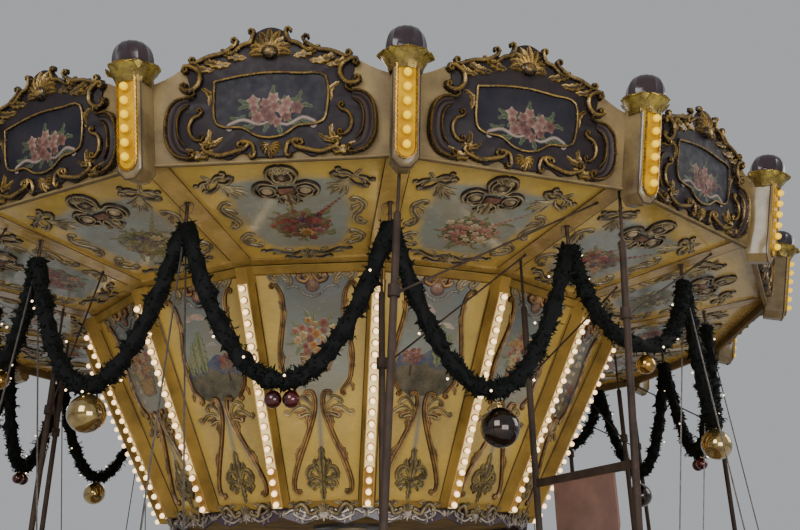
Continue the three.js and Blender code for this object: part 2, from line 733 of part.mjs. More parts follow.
// A ball with the neck of its cap, which runs up into the fir
function ball(line, offset, radius, drop) {
  const along = line.to.clone().sub(line.from).setZ(0).normalize();
  const seat = line.getPoint(0.5).addScaledVector(along, offset);
  const centre = seat.clone();
  centre.z -= GARLAND.tube * BALL_SEAT.depth + radius + drop;
  return [
    toSolid(new THREE.SphereGeometry(radius, 7, 4).translate(centre.x, centre.y, centre.z)),
    toSolid(rod(centre, seat, radius * BALL_SEAT.neck, BALL_SEAT.neckSides)),
  ];
}

function garland() {
  const parts = [];
  for (let i = 0; i < SIDES; i += 1) {
    const line = new SwagCurve(i);
    parts.push(toSolid(swag(line)));
    for (const [offset, radius, drop] of SWAGS[i % SWAGS.length].balls) {
      parts.push(...ball(line, offset, radius, drop));
    }
  }
  const clearance = [];
  for (let i = 0; i < SIDES; i += 1) {
    clearance.push(eyeStem(i, TIE.eyeDrop + 2, -100, TIE.eyeThickness + 1));
    if (!hasRods(i)) clearance.push(tieWires(i, TIE.wireRadius + 2, -4, 0));
  }
  return join(parts).subtract(join(clearance));
}

place(fixedGroup, 'ground_frame', groundFrame(), STEEL);
place(fixedGroup, 'mast', mast(), PAINTED_STEEL);
place(fixedGroup, 'mast_struts', mastStruts(), STEEL);
place(fixedGroup, 'mast_head_bearing', bearingSeat(), STEEL);
place(turningGroup, 'hub', hub(), STEEL);
place(turningGroup, 'rafters', rafters(), PAINTED_STEEL);
place(turningGroup, 'eaves_ring', eavesRing(), PAINTED_STEEL);
place(turningGroup, 'roof_tilt', roofTilt(), CLOTH);
place(turningGroup, 'roof_cap', roofCap(), GILDED);
place(turningGroup, 'ceiling_panels', ceilingPanels(), PAINTED_WOOD);
place(turningGroup, 'ceiling_ribs', ceilingRibs(), PAINTED_WOOD);
place(turningGroup, 'cone_panels', conePanels(), PAINTED_WOOD);
place(turningGroup, 'cone_lamp_battens', coneBattens(), PAINTED_WOOD);
place(turningGroup, 'cone_valance', coneValance(), GILDED);
place(turningGroup, 'cone_floor', coneFloor(), PAINTED_WOOD);
place(turningGroup, 'crown', crown(), PAINTED_WOOD);
place(turningGroup, 'platform_deck', platformDeck(), BARE_BOARD);
const outerRim = platformRim(PLATFORM.outerRadius + SEAT_GAP, PLATFORM.outerRadius + PLATFORM.rimThickness);
const innerRim = platformRim(PLATFORM.innerRadius - PLATFORM.rimThickness, PLATFORM.innerRadius - SEAT_GAP);
place(turningGroup, 'platform_outer_rim', outerRim, PAINTED_WOOD);
place(turningGroup, 'platform_inner_rim', innerRim, PAINTED_WOOD);
place(turningGroup, 'platform_joists', platformJoists(), STEEL);
for (let i = 0; i < SIDES; i += 1) {
  const rib = String(i).padStart(2, '0');
  if (hasRods(i)) {
    const outer = dropRod(ROD.outerRadius, i, ROD.outerCollarZ, OUTER_LEAN);
    const inner = dropRod(ROD.innerRadius, i, ROD.innerCollarZ, UPRIGHT);
    place(turningGroup, `outer_drop_rod_${rib}`, outer, STEEL);
    place(turningGroup, `inner_drop_rod_${rib}`, inner, STEEL);
  } else {
    place(turningGroup, `tie_wires_${rib}`, tieWires(i, TIE.wireRadius, TIE.endGap, TIE.endGap), STEEL);
  }
}
place(turningGroup, 'sign_crossbar', signCrossbar(), PAINTED_STEEL);
place(turningGroup, 'sign_board', signBoard(), BARE_BOARD);
place(turningGroup, 'garland', garland(), FIR);

export default carousel;
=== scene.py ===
import math
from functools import partial

import bmesh
import bpy
import numpy as np
from mathutils import Matrix, Vector


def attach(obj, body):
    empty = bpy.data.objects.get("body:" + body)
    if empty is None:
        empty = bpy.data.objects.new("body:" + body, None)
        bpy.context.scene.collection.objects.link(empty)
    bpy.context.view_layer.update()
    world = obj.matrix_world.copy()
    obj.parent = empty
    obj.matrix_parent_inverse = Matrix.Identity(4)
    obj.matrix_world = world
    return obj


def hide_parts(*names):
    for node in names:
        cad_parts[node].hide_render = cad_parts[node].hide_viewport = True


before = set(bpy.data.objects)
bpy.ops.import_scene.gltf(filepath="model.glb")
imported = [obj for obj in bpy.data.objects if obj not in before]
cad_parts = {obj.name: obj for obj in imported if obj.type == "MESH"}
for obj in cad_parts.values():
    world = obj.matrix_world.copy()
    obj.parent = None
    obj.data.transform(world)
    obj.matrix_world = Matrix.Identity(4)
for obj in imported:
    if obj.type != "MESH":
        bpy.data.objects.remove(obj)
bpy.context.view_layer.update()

# Camera, floor and light
# The camera stands at the photograph's place, low outside the ride and tilted up at the crown.
# The floor is plain and pale, and wide soft lights stand in front, low in front, at the side and behind.
SENSOR_WIDTH, FOCAL_PIXELS, PHOTO_PIXELS = 36, 822, 800
camera_place = Vector((-0.687, -9.751, 1.482))
yaw, pitch, roll = (math.radians(angle) for angle in (7.51, 21.47, -0.71))
ahead = Vector((math.sin(yaw) * math.cos(pitch), math.cos(yaw) * math.cos(pitch), math.sin(pitch)))
level_right = Vector((math.cos(yaw), -math.sin(yaw), 0))
level_up = level_right.cross(ahead)
camera_right = level_right * math.cos(roll) + level_up * math.sin(roll)
camera_up = level_up * math.cos(roll) - level_right * math.sin(roll)
camera_data = bpy.data.cameras.new("camera")
camera_data.sensor_width = SENSOR_WIDTH
camera_data.lens = FOCAL_PIXELS * SENSOR_WIDTH / PHOTO_PIXELS
camera_data.clip_end = 200
camera = bpy.data.objects.new("camera", camera_data)
camera.matrix_world = Matrix((camera_right, camera_up, -ahead)).transposed().to_4x4()
camera.location = camera_place
bpy.context.scene.collection.objects.link(camera)
bpy.context.scene.camera = camera

floor_mesh = bpy.data.meshes.new("studio_floor")
floor_half = 400
floor_mesh.from_pydata([(-floor_half, -floor_half, 0), (floor_half, -floor_half, 0),
                        (floor_half, floor_half, 0), (-floor_half, floor_half, 0)], [], [(0, 1, 2, 3)])
floor = bpy.data.objects.new("studio_floor", floor_mesh)
floor_finish = bpy.data.materials.new("studio_floor")
floor_finish.use_nodes = True
floor_inputs = floor_finish.node_tree.nodes["Principled BSDF"].inputs
floor_inputs["Base Color"].default_value = (0.62, 0.61, 0.59, 1)
floor_inputs["Roughness"].default_value = 0.9
floor_mesh.materials.append(floor_finish)
bpy.context.scene.collection.objects.link(floor)

world = bpy.data.worlds.new("studio")
world.use_nodes = True
sky_inputs = world.node_tree.nodes["Background"].inputs
sky_inputs["Color"].default_value = (0.74, 0.76, 0.79, 1)
sky_inputs["Strength"].default_value = 0.55
bpy.context.scene.world = world


def soft_light(name, place, aim, size, power):
    """A square area light at a place, turned so that its face looks at the aim."""
    data = bpy.data.lights.new(name, "AREA")
    data.size = size
    data.energy = power
    light = bpy.data.objects.new(name, data)
    light.location = place
    light.rotation_euler = (Vector(aim) - Vector(place)).to_track_quat("-Z", "Y").to_euler()
    bpy.context.scene.collection.objects.link(light)


soft_light("front_light", (-6, -15, 7), (0, -2, 4), 7, 900)
soft_light("low_front_light", (3, -12, 0.6), (0, -3, 4.2), 6, 620)
soft_light("side_light", (14, -2, 8), (0, 0, 3.5), 7, 420)
soft_light("back_light", (-6, 14, 10), (0, 0, 4), 8, 700)

# Ground frame, mast, struts and bearing
# Rolled steel sections, welded up and sprayed in machine enamel, dark on the ground frame and cream on the
# mast and the roof's steel. The enamel is dulled by dust and chipped in small spots.
CHIPPED = 0.66


def plug(made, **plugs):
    """Fills inputs of a node. Each takes a value, or the socket of another node to be joined to, and a line
    in its name stands for a space."""
    for name, value in plugs.items():
        entry = made.inputs[name.replace("_", " ")]
        if isinstance(value, bpy.types.NodeSocket):
            made.id_data.links.new(value, entry)
        else:
            entry.default_value = value


def node(tree, kind, settings=None, **plugs):
    """Adds a shader node with its settings and its inputs."""
    made = tree.nodes.new("ShaderNode" + kind)
    for name, value in (settings or {}).items():
        setattr(made, name, value)
    plug(made, **plugs)
    return made


def ramp(tree, factor, stops):
    """A colour ramp through (place, grey or colour) stops."""
    made = node(tree, "ValToRGB", Fac=factor)
    while len(made.color_ramp.elements) < len(stops):
        made.color_ramp.elements.new(0.5)
    for element, (place, colour) in zip(made.color_ramp.elements, stops):
        element.position = place
        element.color = (*colour, 1) if hasattr(colour, "__len__") else (colour, colour, colour, 1)
    return made.outputs["Color"]


def shader_of(material):
    """The shader that a material ends in."""
    return material.node_tree.nodes["Principled BSDF"]


def finish(name):
    """A new material, with its node tree, its shader and the object's own coordinates."""
    material = bpy.data.materials.new(name)
    material.use_nodes = True
    tree = material.node_tree
    place = node(tree, "TexCoord").outputs["Object"]
    return material, tree, shader_of(material), place


def noise(tree, place, scale, detail, roughness=0.5, distortion=0.0):
    """Clouds of noise, about a middle of a half."""
    return node(tree, "TexNoise", Vector=place, Scale=scale, Detail=detail, Roughness=roughness,
                Distortion=distortion).outputs["Fac"]


def mix(tree, factor, under, over, way="MIX"):
    """The colour under, changed to the colour over it by a factor, or multiplied with it."""
    settings = {"data_type": "RGBA", "blend_type": way}
    return node(tree, "Mix", settings, Factor=factor, A=under, B=over).outputs["Result"]


def drift(tree, place, low, high, scale, detail=4.0):
    """A value that drifts from place to place between low and high."""
    limits = {"From_Min": 0.3, "From_Max": 0.7, "To_Min": low, "To_Max": high}
    return node(tree, "MapRange", Value=noise(tree, place, scale, detail), **limits).outputs["Result"]


def rough_and_bump(tree, shader, place, smooth, rough, scale, height):
    """Roughness that drifts between two values, and a fine bump of the given height in metres."""
    plug(shader, Roughness=drift(tree, place, smooth, rough, scale))
    bump = node(tree, "Bump", Height=noise(tree, place, scale * 9, 3.0), Strength=0.35, Distance=height)
    plug(shader, Normal=bump.outputs["Normal"])


def enamel(name, colour, worn, chip, smooth, rough, scale=2.5, metal=0.0):
    """Sprayed enamel: two tones that drift into each other, with small chips down to the primer."""
    material, tree, shader, place = finish(name)
    base = ramp(tree, noise(tree, place, scale, 6.0, 0.6), [(0.32, worn), (0.6, colour)])
    mask = ramp(tree, noise(tree, place, scale * 12, 5.0, 0.7), [(CHIPPED, 0.0), (CHIPPED + 0.03, 1.0)])
    plug(shader, Base_Color=mix(tree, mask, base, (*chip, 1)), Metallic=metal)
    rough_and_bump(tree, shader, place, smooth, rough, scale * 3, 0.002)
    return material


def wear(material, *names):
    """Gives a material to every material slot of the named nodes."""
    for name in names:
        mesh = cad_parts[name].data
        mesh.materials.clear()
        mesh.materials.append(material)


dark_steel = enamel("dark_machine_enamel", (0.055, 0.05, 0.048), (0.10, 0.085, 0.07), (0.16, 0.08, 0.045),
                    0.35, 0.6)
cream_steel = enamel("cream_machine_enamel", (0.56, 0.46, 0.29), (0.40, 0.31, 0.19), (0.12, 0.08, 0.05), 0.3,
                     0.5)
wear(dark_steel, "ground_frame", "mast_struts", "mast_head_bearing", "hub")
wear(cream_steel, "mast", "rafters", "eaves_ring")

BAYS = 16
BAY = 2 * math.pi / BAYS
FLAT = math.cos(BAY / 2)
MID_BAYS = np.arange(BAYS) + 0.5


def cells(rows, columns, wrap_rows=False, wrap_columns=False):
    """The four corners of each cell of a grid stored row by row. A wrapped side joins its last line to its
    first."""
    row = np.arange(rows if wrap_rows else rows - 1)[:, None]
    column = np.arange(columns if wrap_columns else columns - 1)[None]
    row_next = (row + 1) % rows
    column_next = (column + 1) % columns
    corners = (row * columns + column, row * columns + column_next, row_next * columns + column_next,
               row_next * columns + column)
    return np.stack(np.broadcast_arrays(*corners), -1).reshape(-1, 4)


def gather(shapes):
    """Several shapes as one. A shape is its points, its four-cornered faces and a colour for each point."""
    shapes = list(shapes)
    starts = np.cumsum([0] + [len(points) for points, _, _ in shapes[:-1]])
    return (np.concatenate([points for points, _, _ in shapes]),
            np.concatenate([faces + start for (_, faces, _), start in zip(shapes, starts)]),
            np.concatenate([colours for _, _, colours in shapes]))


def tinted(points, faces, colour=(1.0, 1.0, 1.0)):
    """A shape in one colour, or in a colour for each point."""
    points = np.asarray(points, float).reshape(-1, 3)
    return points, faces, np.broadcast_to(np.asarray(colour, float), points.shape).copy()


def skin(rings, colour=(1.0, 1.0, 1.0), wrap_rows=False):
    """A surface over rings of points, each closed on itself, in one colour or in a colour for each point."""
    colour = np.asarray(colour, float)
    faces = cells(*rings.shape[:2], wrap_rows, wrap_columns=True)
    return tinted(rings, faces, colour.reshape(-1, 3) if colour.ndim > 1 else colour)


def unit(vectors):
    """Each vector brought to a length of one."""
    return vectors / np.linalg.norm(vectors, axis=-1, keepdims=True)


def ends_twice(rows):
    """The rows with the first and the last of them doubled."""
    return np.concatenate([rows[:1], rows, rows[-1:]])


def stand(shape, distance, foot, tilt, corner):
    """Stands a flat design up: u runs along the tangent, v up a face that leans outwards by the tilt from a
    foot at that distance from the mast, and w out of the face. The face looks out at the given corner."""
    points, faces, colours = shape
    u, v, w = points.T
    out = distance + v * math.sin(tilt) + w * math.cos(tilt)
    up = foot + v * math.cos(tilt) - w * math.sin(tilt)
    angle = corner * BAY
    placed = (u * math.cos(angle) + out * math.sin(angle), u * math.sin(angle) - out * math.cos(angle), up)
    return np.stack(placed, -1), faces, colours


def ring_of(shape, distance, foot, tilt, corners):
    """The same design stood at each of several corners."""
    return gather(stand(shape, distance, foot, tilt, corner) for corner in corners)


def lathe(profile, sides=24, colour=(1.0, 1.0, 1.0)):
    """A profile of (radius, height) swung about the v axis: u is radius times cosine, w is radius times
    sine."""
    profile = np.asarray(profile, float)
    angle = np.linspace(0, 2 * np.pi, sides, endpoint=False)
    radius = profile[:, :1]
    points = np.stack(np.broadcast_arrays(radius * np.cos(angle), profile[:, 1:], radius * np.sin(angle)), -1)
    return skin(points, colour)


def tube(path, radius, sides=10, colour=(1.0, 1.0, 1.0), aside=(0.0, 0.0, 1.0)):
    """A round bar along a path: circles that stand square to the path's direction, closed at both ends."""
    path = np.asarray(path, float)
    along = unit(np.gradient(path, axis=0))
    across = unit(np.cross(along, np.asarray(aside, float)))
    over = np.cross(across, along)
    reach = np.concatenate([[0], np.broadcast_to(np.asarray(radius, float), len(path)), [0]])[:, None, None]
    path, across, over = (ends_twice(rows)[:, None] for rows in (path, across, over))
    angle = np.linspace(0, 2 * np.pi, sides, endpoint=False)[None, :, None]
    return skin(path + reach * (across * np.cos(angle) + over * np.sin(angle)), colour)


def make(name, shape, material, stands_for=(), crease=38, body="turning"):
    """Welds a shape into a mesh with its faces outwards, gives it its colours, finish and body, and hides the
    nodes that it stands for."""
    points, faces, colours = shape
    mesh = bpy.data.meshes.new(name)
    mesh.from_pydata(points.tolist(), [], faces.tolist(), shade_flat=False)
    attribute = mesh.attributes.new("tint", "FLOAT_COLOR", "POINT")
    attribute.data.foreach_set("color", np.column_stack([colours,
                                                         np.ones(len(colours))]).astype(np.float32).ravel())
    work = bmesh.new()
    work.from_mesh(mesh)
    bmesh.ops.remove_doubles(work, verts=work.verts, dist=1e-5)
    bmesh.ops.recalc_face_normals(work, faces=work.faces)
    work.to_mesh(mesh)
    work.free()
    mesh.set_sharp_from_angle(angle=math.radians(crease))
    mesh.materials.append(material)
    piece = bpy.data.objects.new(name, mesh)
    bpy.context.scene.collection.objects.link(piece)
    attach(piece, body)
    if stands_for:
        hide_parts(*stands_for)
    return piece


# Flange bolts of the ground frame
# Hexagon bolts in zinc-plated steel, screwed down from above: eight through the flange at the mast's foot and
# two through each outer foot. The end of each thread stands over its nut.
bolt = gather([lathe([(0, 0), (0.021, 0), (0.021, 0.014), (0.017, 0.016), (0, 0.016)], 6),
               lathe([(0, 0), (0.011, 0), (0.011, 0.027), (0, 0.029)], 10)])


def moved(shape, u=0.0, v=0.0, w=0.0):
    """The shape shifted in its own plane."""
    points, faces, colours = shape
    return points + np.array((u, v, w)), faces, colours


plated_steel = enamel("zinc_plated_steel", (0.42, 0.41, 0.38), (0.27, 0.25, 0.22), (0.2, 0.12, 0.07), 0.3,
                      0.5, scale=8, metal=0.85)
arms = range(0, BAYS, 2)
mast_bolts = ring_of(bolt, 0.255, 0.31, 0, [arm + 1 for arm in arms])
foot_bolts = [ring_of(moved(bolt, side), 2.3, 0.27, 0, arms) for side in (-0.055, 0.055)]
make("frame_bolts", gather([mast_bolts] + foot_bolts), plated_steel, body="base")

# Roof tilt
# One cone of coated canvas in red and cream gores, laced down over the rafters and under the eaves. It is
# pulled tight, sags a little between two rafters and has a welded seam at each colour change.
TILT_INNER, TILT_OUTER, TILT_SAG, TILT_LIFT, CANVAS = 0.465, 4.738, 0.030, 0.008, 0.003
RAFTER_START, RAFTER_TOP, RAFTER_SLOPE = 0.35, 5.5714, 0.948 / 4.34


def paint(card):
    """A colour as it stands on a colour card, RRGGBB, as the light that it gives back."""
    value = np.array([int(card[i:i + 2], 16) for i in (0, 2, 4)]) / 255
    return np.where(value <= 0.04045, value / 12.92, ((value + 0.055) / 1.055) ** 2.4)


def tones(*cards):
    """Several such colours."""
    return [paint(card) for card in cards]


def rafter_top(radius):
    """Height of the rafters' tops: a straight fall from their inner end."""
    return RAFTER_TOP - (radius - RAFTER_START) * RAFTER_SLOPE


def on_ring(radius, place, height):
    """Points on a sixteen-sided ring. The place counts corners, and a fraction lies on the side between
    two."""
    corner = np.floor(place)
    share = place - corner
    here, there = corner * BAY, (corner + 1) * BAY
    x = radius * ((1 - share) * np.sin(here) + share * np.sin(there))
    y = -radius * ((1 - share) * np.cos(here) + share * np.cos(there))
    return np.stack(np.broadcast_arrays(x, y, height), -1)


gore = np.array([0.004, 0.08, 0.17, 0.25, 0.33, 0.42, 0.496])
share = np.concatenate([gore, gore + 0.5])
place = (np.arange(BAYS)[:, None] + share).ravel()
radius = np.linspace(TILT_OUTER, TILT_INNER, 15)[:, None]
across_gore = np.tile(share, BAYS)[None]
fall = np.sin(np.pi * (radius - TILT_INNER) / (TILT_OUTER - TILT_INNER))
hollow = fall * 4 * across_gore * (1 - across_gore)
canvas_top = on_ring(radius, place[None], rafter_top(radius) + TILT_LIFT - TILT_SAG * hollow)
canvas_under = canvas_top - (0, 0, CANVAS)
canvas = np.concatenate([canvas_top, canvas_under[::-1]])
stripe = np.where((share < 0.5)[:, None], paint("8e2a22"), paint("e6dcc2"))
colours = np.broadcast_to(np.tile(stripe, (BAYS, 1))[None], canvas.shape)
tilt_shape = skin(canvas, colours, wrap_rows=True)


def tint_of(tree):
    """The colour that the maker gave to each point of the mesh."""
    return node(tree, "Attribute", {"attribute_name": "tint"}).outputs["Color"]


coated_canvas, tree, shader, place = finish("coated_canvas")
weave = node(tree, "TexWave", {"bands_direction": "DIAGONAL"}, Vector=place, Scale=160.0, Distortion=1.5)
cloud = ramp(tree, noise(tree, place, 1.6, 6.0), [(0.35, 0.42), (0.65, 0.04)])
weathered = mix(tree, cloud, tint_of(tree), (0.24, 0.2, 0.16, 1))
threads = node(tree, "Bump", Height=weave.outputs["Fac"], Strength=0.3, Distance=0.001)
plug(shader, Base_Color=weathered, Normal=threads.outputs["Normal"], Roughness=0.55, Sheen_Weight=0.15)
tilt = make("roof_tilt_canvas", tilt_shape, coated_canvas, ["roof_tilt"])

# Roof cap
# A spun sheet-metal hood over the mast head, with a turned and gilded finial screwed on. It keeps the
# rain off the bearing. Its foot rests on the hub.
CAP_FOOT = 5.6003


def curve_through(points, steps=8):
    """A smooth line through the given points: on each span, the cubic that leaves and meets them in the
    direction from the point before to the point after."""
    knots = np.asarray(points, float)
    knots = np.concatenate([[2 * knots[0] - knots[1]], knots, [2 * knots[-1] - knots[-2]]])
    t = np.linspace(0, 1, steps, endpoint=False)[:, None]
    before, start, end, after = (knots[i:len(knots) - 3 + i, None] for i in range(4))
    bend = 0.5 * (2 * start + (end - before) * t + (2 * before - 5 * start + 4 * end - after) * t ** 2
                  + (3 * start - before - 3 * end + after) * t ** 3)
    return np.concatenate([bend.reshape(-1, knots.shape[1]), knots[-2:-1]])


hood = curve_through([(0.52, 0.035), (0.42, 0.062), (0.30, 0.108), (0.19, 0.160), (0.11, 0.23),
                      (0.075, 0.30), (0.058, 0.38)])
finial = curve_through([(0.058, 0.43), (0.105, 0.475), (0.126, 0.53), (0.105, 0.59), (0.066, 0.64),
                        (0.034, 0.69), (0.0, 0.74)])
cap_line = np.concatenate([[(0, 0.001), (0.50, 0.001), (0.52, 0.012)], hood,
                           [(0.075, 0.385), (0.075, 0.425)], finial])


def out_of_face(profile, sides, colour=(1.0, 1.0, 1.0)):
    """A profile of (radius, height) swung about the w axis, so that it stands out of the face."""
    points, faces, colours = lathe(profile, sides, colour)
    return points[:, [0, 2, 1]], faces, colours


def gilt(name, dirt, smooth, rough, scale=14.0, metal=0.55, rub=0.35):
    """Bronze paint over carved wood: the tint of each point, clouded, with dirt in spots, rubbed on top."""
    material, tree, shader, place = finish(name)
    cloud = ramp(tree, noise(tree, place, scale, 6.0, 0.65), [(0.38, 0.75), (0.60, 0.0)])
    soiled = mix(tree, cloud, tint_of(tree), (*dirt, 1))
    fleck = ramp(tree, noise(tree, place, scale * 7, 4.0), [(0.56, 0.0), (0.66, rub)])
    plug(shader, Base_Color=mix(tree, fleck, soiled, (0.66, 0.5, 0.24, 1)), Metallic=metal)
    rough_and_bump(tree, shader, place, smooth, rough, scale * 1.5, 0.003)
    return material


old_gold = gilt("aged_gilding", (0.05, 0.035, 0.02), 0.28, 0.5)
cap_shape = out_of_face(cap_line + (0, CAP_FOOT), 48, paint("8a7238"))
make("roof_cap_hood", cap_shape, old_gold, ["roof_cap"])

# Ceiling boards
# Sixteen glossy plywood boards, painted cream with a soft blue-grey field, screwed up under the rafters.
# The field was laid in wet with a wide brush, so its edge fades, and years of bulbs have yellowed it.
CEILING_FOOT, CEILING_RISE, CEILING_LEAN, CEILING_LENGTH = 2.9767, 4.1983, math.radians(83.19), 1.684
CEILING_NARROW, CEILING_WIDE, BOARD_GAP = 0.592, 0.925, 0.0008
CREAM, FIELD = tones("e0bb5c", "979f96")


def slab(front, thickness, colours):
    """A board: the front is a grid of points. Its border is moved back, and closed behind by faces that
    meet in its middle."""
    rows, columns = front.shape[:2]
    grid = np.arange(rows * columns).reshape(rows, columns)
    border = np.concatenate([grid[0, :-1], grid[:-1, -1], grid[-1, :0:-1], grid[:0:-1, 0]])
    front = front.reshape(-1, 3)
    behind = front[border] - (0, 0, thickness)
    middle = np.broadcast_to(behind.mean(0), behind.shape)
    rims = np.concatenate([border, rows * columns + np.arange(2 * len(border))])
    faces = np.concatenate([cells(rows, columns), rims[cells(3, len(border), wrap_columns=True)]])
    shades = np.broadcast_to(np.asarray(colours, float), (rows, columns, 3)).reshape(-1, 3)
    shades = np.concatenate([shades, shades[border], shades[border]])
    return tinted(np.concatenate([front, behind, middle]), faces, shades)


def blend(first, second, share):
    """Each colour between two, by the share of the second."""
    return first + (second - first) * share[..., None]


def fade(value, low, high):
    """0 below low, 1 above high and a smooth cubic between."""
    t = ((value - low) / (high - low)).clip(0, 1)
    return t * t * (3 - 2 * t)


def half_at(v):
    """Half the width of a ceiling board at a height up its face."""
    return CEILING_NARROW + (CEILING_WIDE - CEILING_NARROW) * v / CEILING_LENGTH


across = np.linspace(-1, 1, 31)[None]
v = np.linspace(0.002, CEILING_LENGTH - 0.012, 29)[:, None]
u = across * (half_at(v) - BOARD_GAP)
front = np.stack(np.broadcast_arrays(u, v, 0 * u), -1)
wobble = 0.035 * np.sin(9 * v + 2) + 0.025 * np.sin(17 * v) + 0.03 * np.sin(11 * np.abs(u))
field_half = np.interp(v, [0.25, 0.35, 0.60, 0.90, 1.20, 1.30], [0.28, 0.36, 0.42, 0.50, 0.51, 0.42])
ends = np.minimum(v - 0.24, 1.28 - v)
field = fade(np.minimum(field_half - np.abs(u), ends) + 0.6 * wobble, -0.04, 0.05)
# Painted shade: each board darkens towards its sides, beside the ribs.
rib_shade = 0.3 * fade(np.abs(u) / half_at(v), 0.84, 0.97)
board = blend(blend(CREAM, FIELD, field), paint("8c6f3c"), rib_shade)


def under_ceiling(shape, corners=MID_BAYS):
    """A design stood on the underside of the ceiling boards."""
    return ring_of(shape, CEILING_FOOT, CEILING_RISE, CEILING_LEAN, corners)


def gloss_paint(name, smooth=0.12, rough=0.3, streaks=0.10, dirt=(0.30, 0.2, 0.08), amount=0.35, scale=3.0):
    """Gloss paint in the tint of each point: brush streaks, yellowed clouds and a little orange peel."""
    material, tree, shader, place = finish(name)
    cloud = ramp(tree, noise(tree, place, scale, 7.0, 0.6), [(0.36, amount), (0.62, 0.0)])
    yellowed = mix(tree, cloud, tint_of(tree), (*dirt, 1))
    stretched = node(tree, "Mapping", Vector=place, Scale=(1.0, 1.0, 12.0)).outputs["Vector"]
    bristle = ramp(tree, noise(tree, stretched, 9.0, 5.0), [(0.3, 1 - streaks), (0.7, 1.0)])
    brushed = mix(tree, 1.0, yellowed, bristle, "MULTIPLY")
    plug(shader, Base_Color=brushed, Coat_Weight=0.35, Coat_Roughness=0.08)
    rough_and_bump(tree, shader, place, smooth, rough, scale * 5, 0.0012)
    return material


cream_gloss = gloss_paint("cream_gloss_paint")
make("ceiling_boards", under_ceiling(slab(front, 0.022, board)), cream_gloss,
     ["ceiling_panels"])

# Ceiling ribs
# Flat cover strips of painted softwood over the joints, with a moulded edge, and an eye bolt in each for
# the garland and the tie wires. Dark dirt lines the joints beside them.


def even_paint(name, card, dark, smooth=0.14, rough=0.32):
    """Gloss paint in one colour, for a piece that has no tints of its own."""
    material, tree, shader, place = finish(name)
    base = ramp(tree, noise(tree, place, 2.2, 7.0, 0.6), [(0.34, paint(dark)), (0.62, paint(card))])
    plug(shader, Base_Color=base, Coat_Weight=0.35, Coat_Roughness=0.1)
    rough_and_bump(tree, shader, place, smooth, rough, 12.0, 0.0015)
    return material


rib_paint = even_paint("rib_gloss_paint", "d2ae60", "9c7a3c")
wear(rib_paint, "ceiling_ribs")
joint_brown = even_paint("joint_dirt", "3a2716", "1d130b", 0.5, 0.8)
RIB_START = 3.035
joint_line = tube([(0, v, 0.0195) for v in (0.16, 0.6, 1.1, 1.70)], 0.0035, 6)
joint_lines = gather(moved(joint_line, side, -0.05) for side in (-0.0965, 0.0965))
make("ceiling_joint_lines", ring_of(joint_lines, RIB_START, CEILING_RISE, CEILING_LEAN, range(BAYS)),
     joint_brown)

# Ornament on the ceiling boards
# Scrolls, acanthus sprays and a crowned cartouche, cut in thin relief, glued on and painted stone grey, with
# brown painted shade along their edges and in their hollows and gold painted highlights on their crests. They
# are symmetrical about the middle of each board.
# Each set of carving colours runs from a painted shade, through the paint's own colour, to a painted
# highlight.
SHADOW, STONE, CREST_HIGHLIGHT = tones("170e0c", "463630", "d0bb8a")
BODY_SHARE = 0.88


def curled(line, turns, size):
    """The line with a spiral at its end: it keeps its direction, turns left for positive turns, and its
    radius falls from the given size to a quarter of it in each turn."""
    line = np.asarray(line, float)
    heading = math.atan2(*(line[-1] - line[-2])[::-1])
    angle = np.linspace(0, 2 * np.pi * abs(turns), max(6, int(7 * abs(turns))))
    middle = (angle[1:] + angle[:-1]) / 2
    length = size * 0.25 ** (middle / (2 * np.pi)) * np.diff(angle)
    direction = heading + np.sign(turns) * middle
    steps_on = np.stack([np.cos(direction), np.sin(direction)], -1) * length[:, None]
    return np.concatenate([line, line[-1] + np.cumsum(steps_on, axis=0)])


def closed(rings, first, last):
    """Rings of points, closed at either end by a ring that is drawn together in one point."""
    ends = [np.broadcast_to(end, (1,) + rings.shape[1:]) for end in (first, last)]
    return np.concatenate([ends[0], rings, ends[1]])


def carve(line, width, height, around=5, groove=0.0, sweep=0.0, colours=(SHADOW, STONE, CREST_HIGHLIGHT), lift=0.0,
          reeds=0, twist=0.0):
    """A carved stroke along a line: its section is half an ellipse of the given half width and height, with a
    groove down the middle, or split into reeds that wind to and fro with the twist, and its edge is swept
    forward. Its colour is painted shade at its edge and in its hollows and painted highlight on its crests."""
    line = np.asarray(line, float)
    along = np.gradient(line, axis=0)
    run = np.cumsum(np.linalg.norm(along, axis=1))[:, None, None]
    along /= np.linalg.norm(along, axis=1, keepdims=True) + 1e-12
    across = np.stack([-along[:, 1], along[:, 0]], -1)
    angle = np.linspace(0, np.pi, around)[None, :, None]
    side, rise = np.cos(angle), np.sin(angle) ** 0.8
    rise = rise * (1 - groove * np.exp(-(side / 0.3) ** 2))
    if reeds:
        rise = rise * (0.55 + 0.45 * np.abs(np.sin(np.pi * reeds * (side + 1) / 2)))
    rise = rise * (1 - 0.4 * bool(twist) * (0.5 + 0.5 * np.sin(2 * np.pi * (run * twist + 0.5 * side))))
    width = np.broadcast_to(np.asarray(width, float), len(line))[:, None, None]
    height = np.broadcast_to(np.asarray(height, float), len(line))[:, None, None]
    flat = line[:, None] + across[:, None] * side * width + along[:, None] * sweep * side ** 2 * width
    points = np.concatenate([flat, np.broadcast_to(lift + height * rise, flat.shape[:2] + (1,))], -1)
    points = closed(points, np.append(line[0], lift), np.append(line[-1], lift))
    shadow, body, crest = colours
    light = ends_twice(np.broadcast_to((rise[..., 0] / rise.max()) ** 1.5, (len(line), around)))
    shades = np.where(light[..., None] < BODY_SHARE, blend(shadow, body, (light / BODY_SHARE).clip(0, 1)),
                      blend(body, crest, ((light - BODY_SHARE) / (1 - BODY_SHARE)).clip(0, 1)))
    return skin(points, shades)


def swelling(line, ends=0.35):
    """How wide a stroke is at each point of its line: widest in its middle, and run out towards its ends."""
    return ends + (1 - ends) * np.sin(np.pi * np.linspace(0.06, 0.94, len(line))) ** 0.8


